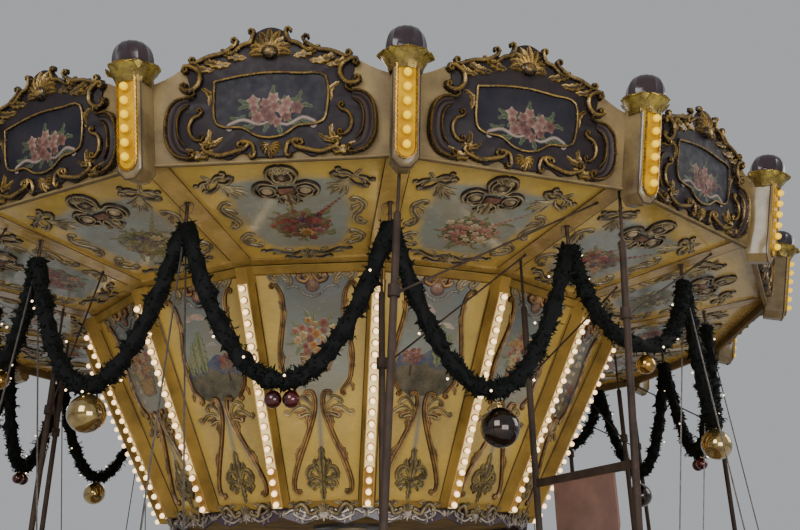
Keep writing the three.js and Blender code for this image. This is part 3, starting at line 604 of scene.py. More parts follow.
def scroll(points, width, height, start=(0, 0), end=(0, 0), **ways):
    """A carved scroll through points, with a spiral at either end given as (turns, size)."""
    line = curve_through(points, 3)
    if start[0]:
        line = curled(line[::-1], *start)[::-1]
    if end[0]:
        line = curled(line, *end)
    swell = swelling(line)
    return carve(line, width * swell, height * (0.5 + 0.5 * swell), **ways)


def leaf(base, tip, bow, width, height, lobes=3, rows=9, widest=0.8, **ways):
    """An acanthus leaf from base to tip, its middle moved sideways by the bow. Its half width swells and
    falls as a sine, cut in by its lobes, and the lobes point forward. It is widest nearer its tip the
    greater the last value is."""
    base, tip = np.asarray(base, float), np.asarray(tip, float)
    reach = tip - base
    share = np.linspace(0, 1, min(rows, max(7, 2 * lobes + 1)))[:, None]
    line = base + reach * share + np.array([-reach[1], reach[0]]) * bow * np.sin(np.pi * share)
    share = share[:, 0]
    cut_in = 1 - 0.42 * np.abs(np.cos(np.pi * lobes * share)) ** 1.5 if lobes else 1.0
    half = width * (0.16 + 0.84 * np.sin(np.pi * share ** widest) ** 0.7) * cut_in
    half[-1] = width * 0.05
    return carve(line, half, height * (0.4 + 0.6 * np.sin(np.pi * share)), groove=0.45, sweep=0.55, **ways)


def fan(centre, reach, count, spread, width, height, turn=90.0, short=0.55, **ways):
    """A palmette: leaves fanned about a centre, the middle one longest, each tip bowed outwards."""
    share = np.linspace(-1, 1, count)
    leaves = []
    for place in sorted(share, key=abs, reverse=True):
        angle = math.radians(turn - place * spread / 2)
        length = reach * (1 - (1 - short) * abs(place) ** 1.3)
        tip = (centre[0] + length * math.cos(angle), centre[1] + length * math.sin(angle))
        leaves.append(leaf(centre, tip, 0.14 * place, width * (0.7 + 0.3 * length / reach), height, **ways))
    return gather(leaves)


def mirrored(shape):
    """The same shape with its left and right changed over."""
    points, faces, colours = shape
    return points * (-1, 1, 1), faces, colours


def both(*shapes):
    """Shapes together with their mirror images."""
    whole = gather(shapes)
    return gather([whole, mirrored(whole)])


def at_depth(line, w):
    """A flat line, at a height over its plane."""
    return np.column_stack([line, np.full(len(line), w)])


def dome(outline, rings, colours, middle=None):
    """A raised plate: the outline shrunk about its middle. Each ring gives the share of the outline and the
    height."""
    outline = np.asarray(outline, float)
    middle = outline.mean(0) if middle is None else np.asarray(middle, float)
    points = np.stack([at_depth(middle + (outline - middle) * share, w) for share, w in rings])
    shades = np.repeat(np.asarray(colours, float).reshape(-1, 1, 3), len(outline), 1)
    if len(shades) == 1:
        shades = np.repeat(shades, len(rings), 0)
    return skin(points, shades)


def oval(centre, half_u, half_v, count=20):
    """Points on an ellipse."""
    angle = np.linspace(0, 2 * np.pi, count, endpoint=False)
    return np.stack([centre[0] + half_u * np.cos(angle), centre[1] + half_v * np.sin(angle)], -1)


def roundel(centre, size, rim, colour):
    """A round boss in a moulded ring, with painted shade in the ring's hollows and painted highlights on its
    crest and on the boss.
    """
    rings = [(1, 0), (1, rim), (0.93, rim * 1.5), (0.82, rim * 1.5), (0.76, rim * 0.8), (0.5, rim * 1.5),
             (0, rim * 1.9)]
    shades = [SHADOW, STONE, CREST_HIGHLIGHT, STONE, SHADOW, colour, blend(colour, CREST_HIGHLIGHT, np.array(0.4))]
    return dome(oval(centre, size, size, 18), rings + [(0, 0)], shades + [SHADOW])


RELIEF, GLUE = 0.022, 0.0005
PINK_STONE, PALE_STONE = tones("a5705a", "cdb48c")
corner_spray = [
    fan((-0.505, 1.275), 0.275, 5, 62, 0.022, RELIEF, turn=-49, short=0.72, lobes=0, rows=9),
    leaf((-0.545, 1.315), (-0.605, 1.385), 0.0, 0.024, RELIEF, 2, 7),
    leaf((-0.54, 1.28), (-0.39, 1.33), 0.30, 0.036, RELIEF, 3, 9),
    leaf((-0.51, 1.32), (-0.595, 1.18), -0.30, 0.036, RELIEF, 3, 9),
    scroll([(-0.50, 1.29), (-0.44, 1.275), (-0.385, 1.32)], 0.022, RELIEF, end=(1.1, 0.032)),
    scroll([(-0.53, 1.33), (-0.49, 1.375), (-0.44, 1.385)], 0.018, RELIEF, end=(1.0, 0.026)),
    scroll([(-0.50, 1.27), (-0.53, 1.21), (-0.59, 1.165)], 0.022, RELIEF, end=(-1.1, 0.030)),
    scroll([(-0.56, 1.31), (-0.62, 1.29), (-0.645, 1.25)], 0.018, RELIEF, end=(-1.0, 0.026)),
]
side_scroll = [
    scroll([(-0.53, 1.00), (-0.575, 0.93), (-0.55, 0.84), (-0.49, 0.76), (-0.475, 0.68), (-0.51, 0.63)],
           0.026, RELIEF, (-1.1, 0.034), (-1.0, 0.028), groove=0.4),
    leaf((-0.57, 0.92), (-0.46, 0.82), 0.2, 0.024, RELIEF, 3),
    leaf((-0.50, 0.80), (-0.545, 0.69), 0.2, 0.018, RELIEF, 2),
]
inner_scroll = [
    scroll([(-0.455, 0.515), (-0.51, 0.44), (-0.48, 0.36), (-0.40, 0.315)], 0.026, RELIEF, (-1.1, 0.032),
           (1.1, 0.032), groove=0.4),
    leaf((-0.50, 0.41), (-0.40, 0.395), 0.25, 0.022, RELIEF, 3),
]
foot_band = [
    scroll([(-0.05, 0.20), (-0.13, 0.155), (-0.21, 0.19), (-0.29, 0.235), (-0.36, 0.215)], 0.019, RELIEF,
           (-0.8, 0.024), (-1.0, 0.022)),
    scroll([(-0.03, 0.11), (-0.10, 0.085), (-0.17, 0.12)], 0.016, RELIEF, end=(1.0, 0.022)),
    leaf((-0.20, 0.17), (-0.31, 0.155), -0.2, 0.022, RELIEF, 3),
    leaf((-0.12, 0.17), (-0.19, 0.25), -0.2, 0.020, RELIEF, 3),
]
cartouche = [
    scroll([(-0.025, 1.475), (-0.085, 1.445), (-0.115, 1.36), (-0.075, 1.27)], 0.017, RELIEF * 1.3,
           (-0.6, 0.02), (0.8, 0.024)),
    scroll([(-0.09, 1.245), (-0.17, 1.27), (-0.235, 1.225), (-0.25, 1.15), (-0.215, 1.085)], 0.017,
           RELIEF * 1.3, (1.0, 0.022), (1.0, 0.024)),
    scroll([(-0.16, 1.075), (-0.11, 1.055), (-0.075, 1.09)], 0.014, RELIEF, (-0.8, 0.020), (0.8, 0.018)),
    scroll([(-0.025, 1.10), (-0.075, 1.06), (-0.06, 1.00)], 0.016, RELIEF, end=(-0.9, 0.020)),
    roundel((-0.148, 1.163), 0.070, RELIEF * 0.8, PALE_STONE),
]
# The plates are dark at their rims and in the oval's groove as painted shade, with a painted highlight on the
# oval's ring.
cartouche_middle = [
    dome(np.array([(-0.06, 1.115), (0.06, 1.115), (0.065, 1.155), (0.06, 1.195), (-0.06, 1.195),
                   (-0.065, 1.155)]),
         [(1, 0), (1, RELIEF * 0.8), (0.8, RELIEF), (0, RELIEF), (0, 0)],
         [SHADOW, STONE, PINK_STONE, PINK_STONE, SHADOW]),
    dome(oval((0, 1.335), 0.085, 0.10, 18),
         [(1, 0), (1, RELIEF * 0.7), (0.85, RELIEF), (0.72, RELIEF * 0.6), (0.4, RELIEF * 0.9),
          (0, RELIEF * 1.2), (0, 0)],
         [SHADOW, STONE, CREST_HIGHLIGHT, SHADOW, STONE, PALE_STONE, SHADOW]),
    fan((0, 1.36), 0.125, 5, 105, 0.026, RELIEF * 1.7, short=0.85, lobes=2, rows=9),
    fan((0, 1.29), 0.075, 5, 170, 0.018, RELIEF * 1.5, turn=270, short=0.8, lobes=0, rows=6),
    leaf((0.0, 1.12), (0.0, 0.92), 0.0, 0.060, RELIEF * 1.2, 3, 13),
]
shell = [
    fan((0, 0.12), 0.125, 7, 165, 0.024, RELIEF * 1.3, lobes=2, rows=9),
    leaf((0.0, 0.14), (0.0, 0.02), 0.0, 0.030, RELIEF * 1.2, 2),
]
carved_stone = gilt("stone_and_gold_paint", (0.03, 0.02, 0.014), 0.3, 0.5, 10.0, 0.12, 0.10)
sprays = moved(both(*corner_spray, *side_scroll, *inner_scroll), w=GLUE)
make("ceiling_sprays", under_ceiling(sprays), carved_stone)
cartouches = moved(gather([both(*cartouche, *foot_band)] + cartouche_middle + shell), w=GLUE)
make("ceiling_cartouches", under_ceiling(cartouches), carved_stone)

# Bouquets painted on the ceiling
# A loose bunch of garden flowers in the middle of each board, laid on thickly in oil paint. Four bunches in
# different colours follow each other round the ceiling.
random = np.random.default_rng(7)
GOLDEN_ANGLE, PAINT = 2.39996, 0.0004


def blossom(centre, size, petals, outer, inner, height=0.004, turn=0.0, deep=0.3):
    """A flower seen from above, in two card colours: its edge bulges once per petal, its face rises to a
    ring and dips to its heart."""
    columns = petals * 2
    angle = np.linspace(0, 2 * np.pi, columns, endpoint=False)[None]
    lobe = np.abs(np.sin(petals * angle / 2))
    ring = np.array([1.0, 0.62, 0.0, 0.0])[:, None]
    rise = np.array([0.0, 1.0, 0.75, 0.0])[:, None]
    edge = 1 - deep * (1 - lobe ** 0.6)
    reach = size * ring * (edge * ring + 1 - ring)
    w = height * rise * (0.65 + 0.35 * lobe)
    w[-2:] = w[-2:].mean(1, keepdims=True)
    w[-1] = 0
    u = centre[0] + reach * np.cos(angle + turn)
    v = centre[1] + reach * np.sin(angle + turn)
    shade = (ring ** 1.2 * (0.45 + 0.55 * lobe)).clip(0, 1)
    colours = blend(paint(inner), paint(outer), np.broadcast_to(shade, u.shape))
    return skin(np.stack(np.broadcast_arrays(u, v, w), -1), colours)


def spread_out(count, half_u, half_v):
    """Places spread evenly over an ellipse, each turned on by the golden angle and further out by the root of
    its number."""
    number = np.arange(count) + 0.5
    angle = number * GOLDEN_ANGLE
    reach = np.sqrt(number / count)
    return np.stack([half_u * reach * np.cos(angle), half_v * reach * np.sin(angle)], -1)


GREEN, PALE_GREEN, DARK_GREEN = tones("56603a", "8f9465", "2e3a26")
LEAF_PAINT, LEAF_SHADE = (DARK_GREEN, GREEN, PALE_GREEN), paint("33301f")


def patch(outline, colour, darker, height):
    """A flat stroke of paint with a given outline, in another tone at its rim."""
    outline = np.asarray(outline, float)
    return dome(outline, [(1, 0), (0.97, height), (0.5, height), (0, height), (0, 0)],
                [darker, darker, colour, colour, darker])


BUNCHES = [
    [("c9968c", "8c3a3a"), ("ded0bc", "b07a60"), ("cf9d90", "a05550"), ("e2d8c4", "b89a6a")],
    [("a63a44", "5e1622"), ("c2646a", "7c2436"), ("8e4a5c", "4c1c34"), ("d4b08c", "9c5c3c")],
    [("a8a060", "60602c"), ("6e4a68", "38203c"), ("d8cfa4", "9a8448"), ("88906a", "4c5630")],
    [("a02a36", "5a1020"), ("743254", "3c1434"), ("b84450", "6c1a28"), ("c08a86", "6c2c3c")],
]


def bunch(number):
    """A bouquet: thin pale leaves underneath, small blossoms over them from the rim inwards with a few large
    ones in their midst, and a long spray of buds towards one corner."""
    palette = BUNCHES[number]
    middle = np.array([0.02, 0.63])
    pieces = [patch(oval(middle, 0.235, 0.20, 26), LEAF_SHADE, GREEN, 0.0022)]
    for place in spread_out(30, 0.31, 0.29):
        out = place / (np.linalg.norm(place) + 1e-9) + random.normal(0, 0.6, 2)
        base = middle + place * 0.8
        reach = random.uniform(0.05, 0.11)
        bow = random.uniform(-0.4, 0.4)
        pieces.append(leaf(base, base + out * reach, bow, 0.024, 0.004, 2, 6, colours=LEAF_PAINT))
    for index, place in enumerate(spread_out(34, 0.25, 0.22)[::-1]):
        outer, inner = palette[index * 7 % 4]
        pieces.append(blossom(middle + place, random.uniform(0.024, 0.050), 5, outer, inner,
                              0.004 + 0.0001 * index, random.uniform(0, 6)))
    for index, place in enumerate([(-0.11, 0.06), (0.02, 0.08), (0.14, 0.05), (0.14, -0.09), (-0.10, -0.06)]):
        outer, inner = palette[index % 4]
        pieces.append(blossom(middle + place, 0.064, 6, outer, inner, 0.010, index))
    stalk = curve_through([middle + (0.12, 0.10), middle + (0.27, 0.26), middle + (0.43, 0.44)], 5)
    pieces.append(carve(stalk, 0.004, 0.003, 4, colours=LEAF_PAINT))
    for share in (0.2, 0.3, 0.4, 0.5, 0.62, 0.74, 0.87, 1.0):
        at = stalk[int(share * (len(stalk) - 1))]
        pieces.append(blossom(at, 0.032 - 0.018 * share, 5, *palette[0], 0.005, share))
    if number == 3:
        pieces.append(blossom(middle + (0.03, -0.11), 0.074, 9, "c99f3c", "7c3a18", 0.013, 0.2, 0.4))
    return gather(pieces)


oil_paint = gloss_paint("flower_oil_paint", 0.2, 0.4, 0.12, (0.34, 0.26, 0.14), 0.4, 9.0)
bunches = [under_ceiling(moved(bunch(number), w=PAINT), MID_BAYS[number::4]) for number in range(4)]
make("ceiling_bouquets", gather(bunches), oil_paint)

# Cone boards
# Sixteen tapering plywood boards that close the inverted cone round the machinery, painted in the same gloss
# cream as the ceiling. Each has a framed picture in its upper half, laid on in a dusky blue-grey.
CONE_FOOT, CONE_RISE, CONE_LEAN, CONE_LENGTH = 1.938, 2.175, math.radians(27.43), 2.2545
CONE_NARROW, CONE_WIDE = 0.3855, 0.5921


def on_cone(shape, corners=MID_BAYS):
    """A design stood on the outside of the cone's boards."""
    return ring_of(shape, CONE_FOOT, CONE_RISE, CONE_LEAN, corners)


def cone_half(v):
    """Half the width of a cone board at a height up its face."""
    return CONE_NARROW + (CONE_WIDE - CONE_NARROW) * v / CONE_LENGTH


def picture_half(v):
    """Half the width of the picture, inside the frame that waists above its middle and rounds in to the
    foot."""
    return np.interp(v, [0.95, 1.02, 1.10, 1.20, 1.30, 1.43, 1.60, 1.78, 1.95, 2.06, 2.16],
                     [0.02, 0.06, 0.205, 0.278, 0.300, 0.315, 0.297, 0.270, 0.272, 0.325, 0.345])


v = np.linspace(0.0, CONE_LENGTH - 0.004, 39)[:, None]
u = np.linspace(-1, 1, 23)[None] * (cone_half(v) - BOARD_GAP)
front = np.stack(np.broadcast_arrays(u, v, 0 * u), -1)
inside = fade(np.minimum(picture_half(v) - np.abs(u), 2.15 - v), -0.020, 0.020)
sky = blend(paint("6f7673"), paint("9a9c8c"), fade(v, 2.1, 1.1) + 0 * u)
sky = blend(sky, paint("8a7a5e"), 0.5 * fade(v, 1.35, 1.05) + 0 * u)
glow = 0.35 * np.exp(-((np.abs(u) - 0.2) / 0.07) ** 2) * fade(v, 1.0, 0.8)
board = blend(blend(CREAM, paint("c9a765"), glow), sky, inside)
# Painted shade: each board darkens towards its sides beside the battens, at its foot and at its top.
cone_edge_shade = 0.45 * fade(np.abs(u) / cone_half(v), 0.80, 0.93) + 0.3 * fade(v, 0.12, 0.0)
cone_edge_shade = cone_edge_shade + 0.25 * fade(v, 2.15, 2.25)
board = blend(board, paint("94753e"), cone_edge_shade.clip(0, 0.6))
make("cone_boards", on_cone(slab(front, 0.024, board)), cream_gloss, ["cone_panels"])

# Pictures on the cone
# Four plain country subjects follow each other round the cone: baskets of blossoms, and low hills with
# poplars and a rosy tree. They are painted flat in oils over the dusky ground.
PICTURE_STEP = 0.0016


def hills(near, far, rise):
    """Two rows of low hills across the foot of the picture, as slabs whose top is a wave."""
    pieces = []
    for low, height, tone, phase, lift in ((1.10, 1.47, far, 0.4, 0.0006), (1.07, 1.33, near, 2.2, 0.0012)):
        v = np.linspace(0, 1, 7)[:, None]
        share = np.linspace(-1, 1, 25)[None]
        top = height + rise * np.sin(3.1 * share + phase) + 0.015 * np.sin(9 * share + phase)
        height_of = low + (top - low) * v
        u = share * (picture_half(height_of) - 0.006)
        shade = blend(paint(tone[0]), paint(tone[1]), (v ** 1.5 + 0 * u))
        pieces.append(slab(np.stack([u, height_of, 0 * u + lift], -1), 0.0005, shade))
    return gather(pieces)


def poplar(place, size):
    """A slender tree: a tall leaf for its crown and a short trunk."""
    foot = np.array(place)
    trunk = carve([foot, foot + (0, 0.03), foot + (0, 0.06)], 0.006, 0.002, 5, colours=(DARK_GREEN,) * 3,
                  lift=PICTURE_STEP)
    return gather([trunk, leaf(foot + (0, 0.03), foot + (0, size), 0.03, size * 0.16, 0.003, 6, 17,
                               colours=LEAF_PAINT, lift=PICTURE_STEP)])


def cloud_bank(place, size, card, dark):
    """A bank of cloud from five overlapping ovals."""
    pieces = []
    for step, (du, dv, share) in enumerate([(-0.9, 0, 0.5), (-0.4, 0.25, 0.75), (0.15, 0.3, 0.9),
                                            (0.6, 0.1, 0.65), (1.0, -0.05, 0.4)]):
        centre = (place[0] + du * size, place[1] + dv * size)
        pieces.append(patch(oval(centre, size * share, size * share * 0.42, 18), paint(card), paint(dark),
                            0.0008 + 0.0002 * step))
    return gather(pieces)


def smooth_ring(outline):
    """A smooth closed line through the corners of an outline."""
    return curve_through(np.concatenate([outline, outline[:1]]), 4)[:-1]


def basket(number):
    """A woven basket heaped with blossoms over dark leaves."""
    palette = [("d9a245", "8a4a1c"), ("c98a6a", "7c3a28"), ("dcc88e", "a07038"), ("b0604a", "5e2820")]
    bowl = np.array([(-0.15, 1.33), (-0.13, 1.20), (-0.09, 1.15), (0.09, 1.15), (0.13, 1.20), (0.15, 1.33)])
    pieces = [dome(smooth_ring(bowl), [(1, 0), (0.98, 0.003), (0.6, 0.008), (0, 0.01), (0, 0)],
                   [SHADOW, *tones("6e4c28", "a07a44", "b08a50"), SHADOW])]
    for row in range(4):
        height = 1.18 + 0.04 * row
        reach = 0.10 + 0.014 * row
        pieces.append(carve(curve_through([(-reach, height), (0, height - 0.012), (reach, height)], 6),
                            0.006, 0.008, 5, colours=(SHADOW, *tones("8a6434", "c09a5c")), lift=0.004))
    for place in spread_out(18, 0.24, 0.22):
        base = np.array([0, 1.48]) + place * 0.7
        out = place / (np.linalg.norm(place) + 1e-9)
        bow = random.uniform(-0.3, 0.3)
        pieces.append(leaf(base, base + out * 0.13, bow, 0.024, 0.003, 3, 7, colours=LEAF_PAINT))
    for index, place in enumerate(spread_out(20, 0.19, 0.17)[::-1]):
        outer, inner = palette[(index + number) % 4]
        pieces.append(blossom(np.array([0, 1.48]) + place, random.uniform(0.034, 0.055),
                              int(random.integers(5, 8)), outer, inner, 0.006, random.uniform(0, 6)))
    return gather(pieces)


def rosy_tree(place, size):
    """A round autumn tree: a forked trunk and a heap of rosy blossoms for its crown."""
    foot = np.array(place)
    brown = (SHADOW, *tones("4a2c22", "6e4836"))
    pieces = [carve([foot, foot + (0, size), foot + (lean, 1.9 * size)], 0.010, 0.003, 5, colours=brown,
                    lift=PICTURE_STEP)
              for lean in (-0.3 * size, 0.3 * size)]
    for index, spot in enumerate(spread_out(14, 1.05 * size, 0.72 * size)[::-1]):
        outer, inner = (("a8685a", "6e362e"), ("8e4c42", "54261f"))[index % 2]
        pieces.append(blossom(foot + (0, 1.9 * size) + spot, 0.36 * size, 5, outer, inner,
                              0.003 + 0.00012 * index, index))
    return gather(pieces)


def landscape(number):
    """Slate blue hills behind brown ones, with poplars and a rosy tree under banks of cloud."""
    pieces = [hills(("33301f", "5c543a"), ("1f2a40", "44526e"), 0.03),
              cloud_bank((-0.10, 1.86), 0.09, "c2a090", "8e8a80"),
              cloud_bank((0.13, 1.72), 0.07, "cdb49c", "94908a"),
              cloud_bank((0.02, 1.60), 0.05, "b09a8c", "8a8a82")]
    side = -1 if number % 2 else 1
    trees = [(0.10, 1.31, 0.44), (0.18, 1.30, 0.36), (0.25, 1.29, 0.24)]
    pieces += [poplar((side * u, v), size) for u, v, size in trees]
    pieces.append(rosy_tree((-side * 0.15, 1.25), 0.095))
    return gather(pieces)


pictures = [landscape(0), basket(0), landscape(1), basket(1)]
set_out = [on_cone(moved(picture, 0, 0.12 * (number % 2), PAINT), MID_BAYS[number::4])
           for number, picture in enumerate(pictures)]
make("cone_pictures", gather(set_out), oil_paint)

# Ornament on the cone
# A reeded frame with volutes, a palmette and a swag of cord over each picture, two reeded stems below it
# that part like a lyre, with fleur knots at their shoulders and an acanthus palmette between them, and
# scrolls on the foot moulding. Carved relief, glued on and painted, with red-brown painted shade and gold
# painted highlights.
# Each set runs from painted shade through the paint's colour to a painted highlight.
RED_GOLD = tones("260f0a", "7c2e1c", "d2ab6a")
UMBER = tones("20140e", "5a4632", "cdb682")
KNOT = tones("3a2010", "8a6438", "e2c888")
CORD = tones("5a4e46", "a89c90", "dcd4c6")
PALM = tones("1c130a", "53452a", "b39c62")


def strokes(colours):
    """The scroll, the leaf and the fan, in one set of colours: painted shade, the paint's own colour and
    painted highlight.
    """
    return [partial(stroke, colours=colours) for stroke in (scroll, leaf, fan)]


red_scroll, red_leaf, red_fan = strokes(RED_GOLD)
umber_scroll, umber_leaf, umber_fan = strokes(UMBER)
palm_scroll, palm_leaf, palm_fan = strokes(PALM)
frame_line = curve_through([(-0.335, 2.075), (-0.30, 2.02), (-0.278, 1.93), (-0.279, 1.78), (-0.308, 1.60),
                            (-0.327, 1.43), (-0.312, 1.30), (-0.290, 1.20), (-0.215, 1.10)], 3)
frame_line = curled(curled(frame_line[::-1], 0.9, 0.032)[::-1], -0.9, 0.026)
frame_side = [
    carve(frame_line, 0.024 * swelling(frame_line), 0.030, 7, colours=RED_GOLD, reeds=2),
    red_leaf((-0.275, 1.74), (-0.315, 1.93), -0.12, 0.030, 0.026, 4),
    red_leaf((-0.325, 1.50), (-0.345, 1.31), 0.15, 0.030, 0.026, 4),
    red_leaf((-0.26, 1.19), (-0.315, 1.09), -0.2, 0.026, 0.024, 3),
]
top_scrolls = [
    umber_scroll([(-0.35, 2.115), (-0.385, 2.16), (-0.33, 2.20), (-0.25, 2.185), (-0.20, 2.13)], 0.028,
                 0.030, (1.0, 0.024),
           (-1.1, 0.030), groove=0.3),
    umber_leaf((-0.33, 2.19), (-0.20, 2.06), 0.15, 0.030, 0.024, 3),
    umber_leaf((-0.29, 2.17), (-0.15, 2.19), 0.2, 0.022, 0.024, 2),
    red_scroll([(-0.015, 2.155), (-0.06, 2.10), (-0.115, 2.115)], 0.026, 0.030, end=(-1.1, 0.026)),
    carve(curve_through([(-0.235, 2.04), (-0.19, 2.055), (-0.13, 2.045), (-0.075, 1.985), (0.0, 1.958)], 5),
          0.011, 0.012, 5, colours=CORD, twist=25),
]
# The boss is dark at its rim as painted shade and lighter towards its top as a painted highlight.
top_middle = [
    dome(oval((0, 2.065), 0.066, 0.066, 16), [(1, 0), (1, 0.008), (0.6, 0.014), (0, 0.016), (0, 0)],
         [SHADOW, *tones("6c4a3e", "8e6a58", "a17c66"), SHADOW]),
    red_fan((0, 2.105), 0.115, 5, 130, 0.030, 0.032, short=0.7, lobes=2, rows=8),
    red_leaf((0, 2.12), (0, 2.03), 0, 0.024, 0.026, 2),
]
stem_line = curve_through([(-0.095, 1.095), (-0.055, 1.085), (-0.036, 1.01), (-0.047, 0.90), (-0.084, 0.78),
                           (-0.129, 0.657),
                           (-0.183, 0.518), (-0.228, 0.393), (-0.262, 0.268), (-0.262, 0.19),
                           (-0.245, 0.155)], 3)
stem_line = curled(curled(stem_line[::-1], 0.6, 0.020)[::-1], 0.9, 0.024)
stems = [
    carve(stem_line, 0.026 * swelling(stem_line, 0.5), 0.032, 7, colours=RED_GOLD, reeds=2),
    red_leaf((-0.05, 0.93), (-0.105, 0.74), -0.16, 0.030, 0.030, 4),
    red_leaf((-0.14, 0.62), (-0.235, 0.44), -0.10, 0.028, 0.030, 4),
    scroll([(-0.055, 0.90), (-0.085, 0.99), (-0.145, 1.045), (-0.20, 1.02)], 0.020, 0.030, end=(1.0, 0.026),
           colours=KNOT, groove=0.5),
    scroll([(-0.06, 0.90), (-0.14, 0.96), (-0.215, 0.945), (-0.275, 0.895)], 0.020, 0.030, end=(-1.0, 0.024),
           colours=KNOT, groove=0.5),
    scroll([(-0.065, 0.88), (-0.115, 0.885), (-0.165, 0.862)], 0.016, 0.028, end=(-1.0, 0.020), colours=KNOT),
    red_leaf((-0.10, 0.94), (-0.225, 0.90), 0.12, 0.022, 0.026, 2),
]
palmette_side = [
    palm_scroll([(-0.012, 0.29), (-0.045, 0.375), (-0.105, 0.385), (-0.135, 0.33)], 0.030, 0.034,
                end=(0.9, 0.036),
           groove=0.4),
    palm_scroll([(-0.010, 0.24), (-0.060, 0.285), (-0.110, 0.262)], 0.026, 0.034, end=(0.9, 0.030),
                groove=0.4),
    palm_leaf((-0.008, 0.22), (-0.085, 0.165), -0.30, 0.026, 0.030, 3, 9),
    palm_leaf((-0.006, 0.36), (-0.062, 0.475), 0.25, 0.030, 0.034, 2, 9),
]
palmette = [
    palm_leaf((0, 0.30), (0, 0.085), 0, 0.036, 0.032, 4, 13),
    palm_leaf((0, 0.27), (0, 0.585), 0, 0.050, 0.042, 3, 15, widest=0.9),
    palm_fan((0, 0.235), 0.105, 3, 100, 0.022, 0.046, short=0.8, lobes=0, rows=8),
]
MOULDING_FACE = 0.036
foot_scrolls = [
    umber_scroll([(-0.255, 0.035), (-0.20, 0.062), (-0.16, 0.02), (-0.13, -0.035), (-0.07, -0.02)], 0.026,
                 0.024, (1.0, 0.022),
           (0.9, 0.024)),
    umber_leaf((-0.17, 0.04), (-0.10, 0.075), 0.2, 0.024, 0.024, 3),
    umber_leaf((-0.24, 0.02), (-0.33, 0.06), -0.2, 0.024, 0.022, 3),
]
foot_middle = umber_fan((0, -0.01), 0.085, 5, 160, 0.024, 0.026, short=0.75, lobes=2, rows=8)
relief = gather([both(*frame_side, *top_scrolls)] + top_middle)
make("cone_picture_frames", on_cone(moved(relief, w=GLUE)), carved_stone)
relief = gather([both(*stems, *palmette_side)] + palmette)
make("cone_stems", on_cone(moved(relief, w=GLUE)), carved_stone)
relief = gather([both(*foot_scrolls), foot_middle])
make("cone_foot_scrolls", on_cone(moved(relief, w=MOULDING_FACE)), carved_stone)

# Lamp battens of the cone
# Boxed softwood battens, screwed on over the sixteen joints and painted in a brownish gold without gloss,
# with a bright white front between two beads that glows a little, as painted light from the lamps. Each
# carries a row of twenty round lamps in porcelain holders, coloured brown as painted shade round each lamp.
batten_paint = even_paint("batten_paint", "b08c40", "7c5f28", 0.6, 0.8)
plug(shader_of(batten_paint), Coat_Weight=0.0, Specular_IOR_Level=0.25)
wear(batten_paint, "cone_lamp_battens", "cone_floor")
LAMP_START, LAMP_END, STRIP_EDGE, JOINT_EDGE = (2.137, 2.195), (3.083, 3.943), 0.048, 0.0755
outwards, upwards = np.subtract(LAMP_END, LAMP_START)
batten_run, batten_lean = math.hypot(outwards, upwards), math.atan2(outwards, upwards)
glowing_white_front = even_paint("batten_white_glowing_paint", "fff0ae", "ecd28a", 0.25, 0.45)
# The white front glows a little: painted light from its lamps.
plug(shader_of(glowing_white_front), Emission_Color=(1.0, 0.80, 0.40, 1), Emission_Strength=0.35)
strip_v = np.linspace(-0.045, batten_run + 0.035, 24)[:, None]
strip_u = np.linspace(-0.046, 0.046, 5)[None]
strip_face = np.stack(np.broadcast_arrays(strip_u, strip_v, 0 * strip_u * strip_v - 0.0210), -1)
strip = slab(strip_face, 0.0050, paint("f1e6c6"))


def on_batten(shape):
    """A design stood on the row of lamps, whose centres are 25 mm above the batten's front."""
    return ring_of(shape, *LAMP_START, batten_lean, range(BAYS))


make("batten_white_fronts", on_batten(strip), glowing_white_front)
beads = [tube([(side, v, -0.021) for v in (-0.04, 0.9, batten_run + 0.03)], 0.0055, 8)
         for side in (-STRIP_EDGE, STRIP_EDGE)]
make("batten_beads", on_batten(gather(beads)), rib_paint)
for name, side in (("left", -JOINT_EDGE), ("right", JOINT_EDGE)):
    seam = tube([(side, v, -0.138) for v in (-0.03, 1.0, batten_run + 0.02)], 0.005, 6)
    make("batten_joint_lines_" + name, on_batten(seam), joint_brown)


def globe(size, sides, rows):
    """A lamp's glass: a sphere whose back is drawn in to its neck."""
    angle = np.linspace(0, np.pi * 0.86, rows)
    profile = np.stack([size * np.sin(angle), size * np.cos(angle)], -1)
    return out_of_face(np.concatenate([profile, [(0, profile[-1, 1])]]), sides)


def lit_glass(name, glow, strength, glass=(0.9, 0.86, 0.75, 1)):
    """A frosted lamp that is on: brightest in its middle, and warmer towards its edge."""
    material, tree, shader, place = finish(name)
    facing = node(tree, "LayerWeight", Blend=0.35).outputs["Facing"]
    warm = ramp(tree, facing, [(0.0, glow[0]), (0.8, glow[1])])
    plug(shader, Emission_Color=warm, Emission_Strength=strength, Base_Color=glass, Roughness=0.12)
    return material


warm_lamp = lit_glass("warm_lamp_glass", [(1.0, 0.80, 0.46), (0.75, 0.30, 0.07)], 2.6, (0.9, 0.7, 0.45, 1))
lamp_heights = np.linspace(0, batten_run, 20)
lamp_row = gather(moved(globe(0.029, 9, 5), 0, height, 0.002) for height in lamp_heights)
make("batten_lamps", on_batten(lamp_row), warm_lamp)
holder = out_of_face([(0, -0.0245), (0.036, -0.0245), (0.037, -0.019), (0.018, -0.008), (0, -0.008)], 8)
# The holders are coloured brown as painted shade round each lamp.
porcelain = even_paint("lamp_holder_painted_shade", "c09a68", "8e683c", 0.15, 0.3)
holders = gather(moved(holder, 0, height) for height in lamp_heights)
make("batten_lamp_holders", on_batten(holders), porcelain)

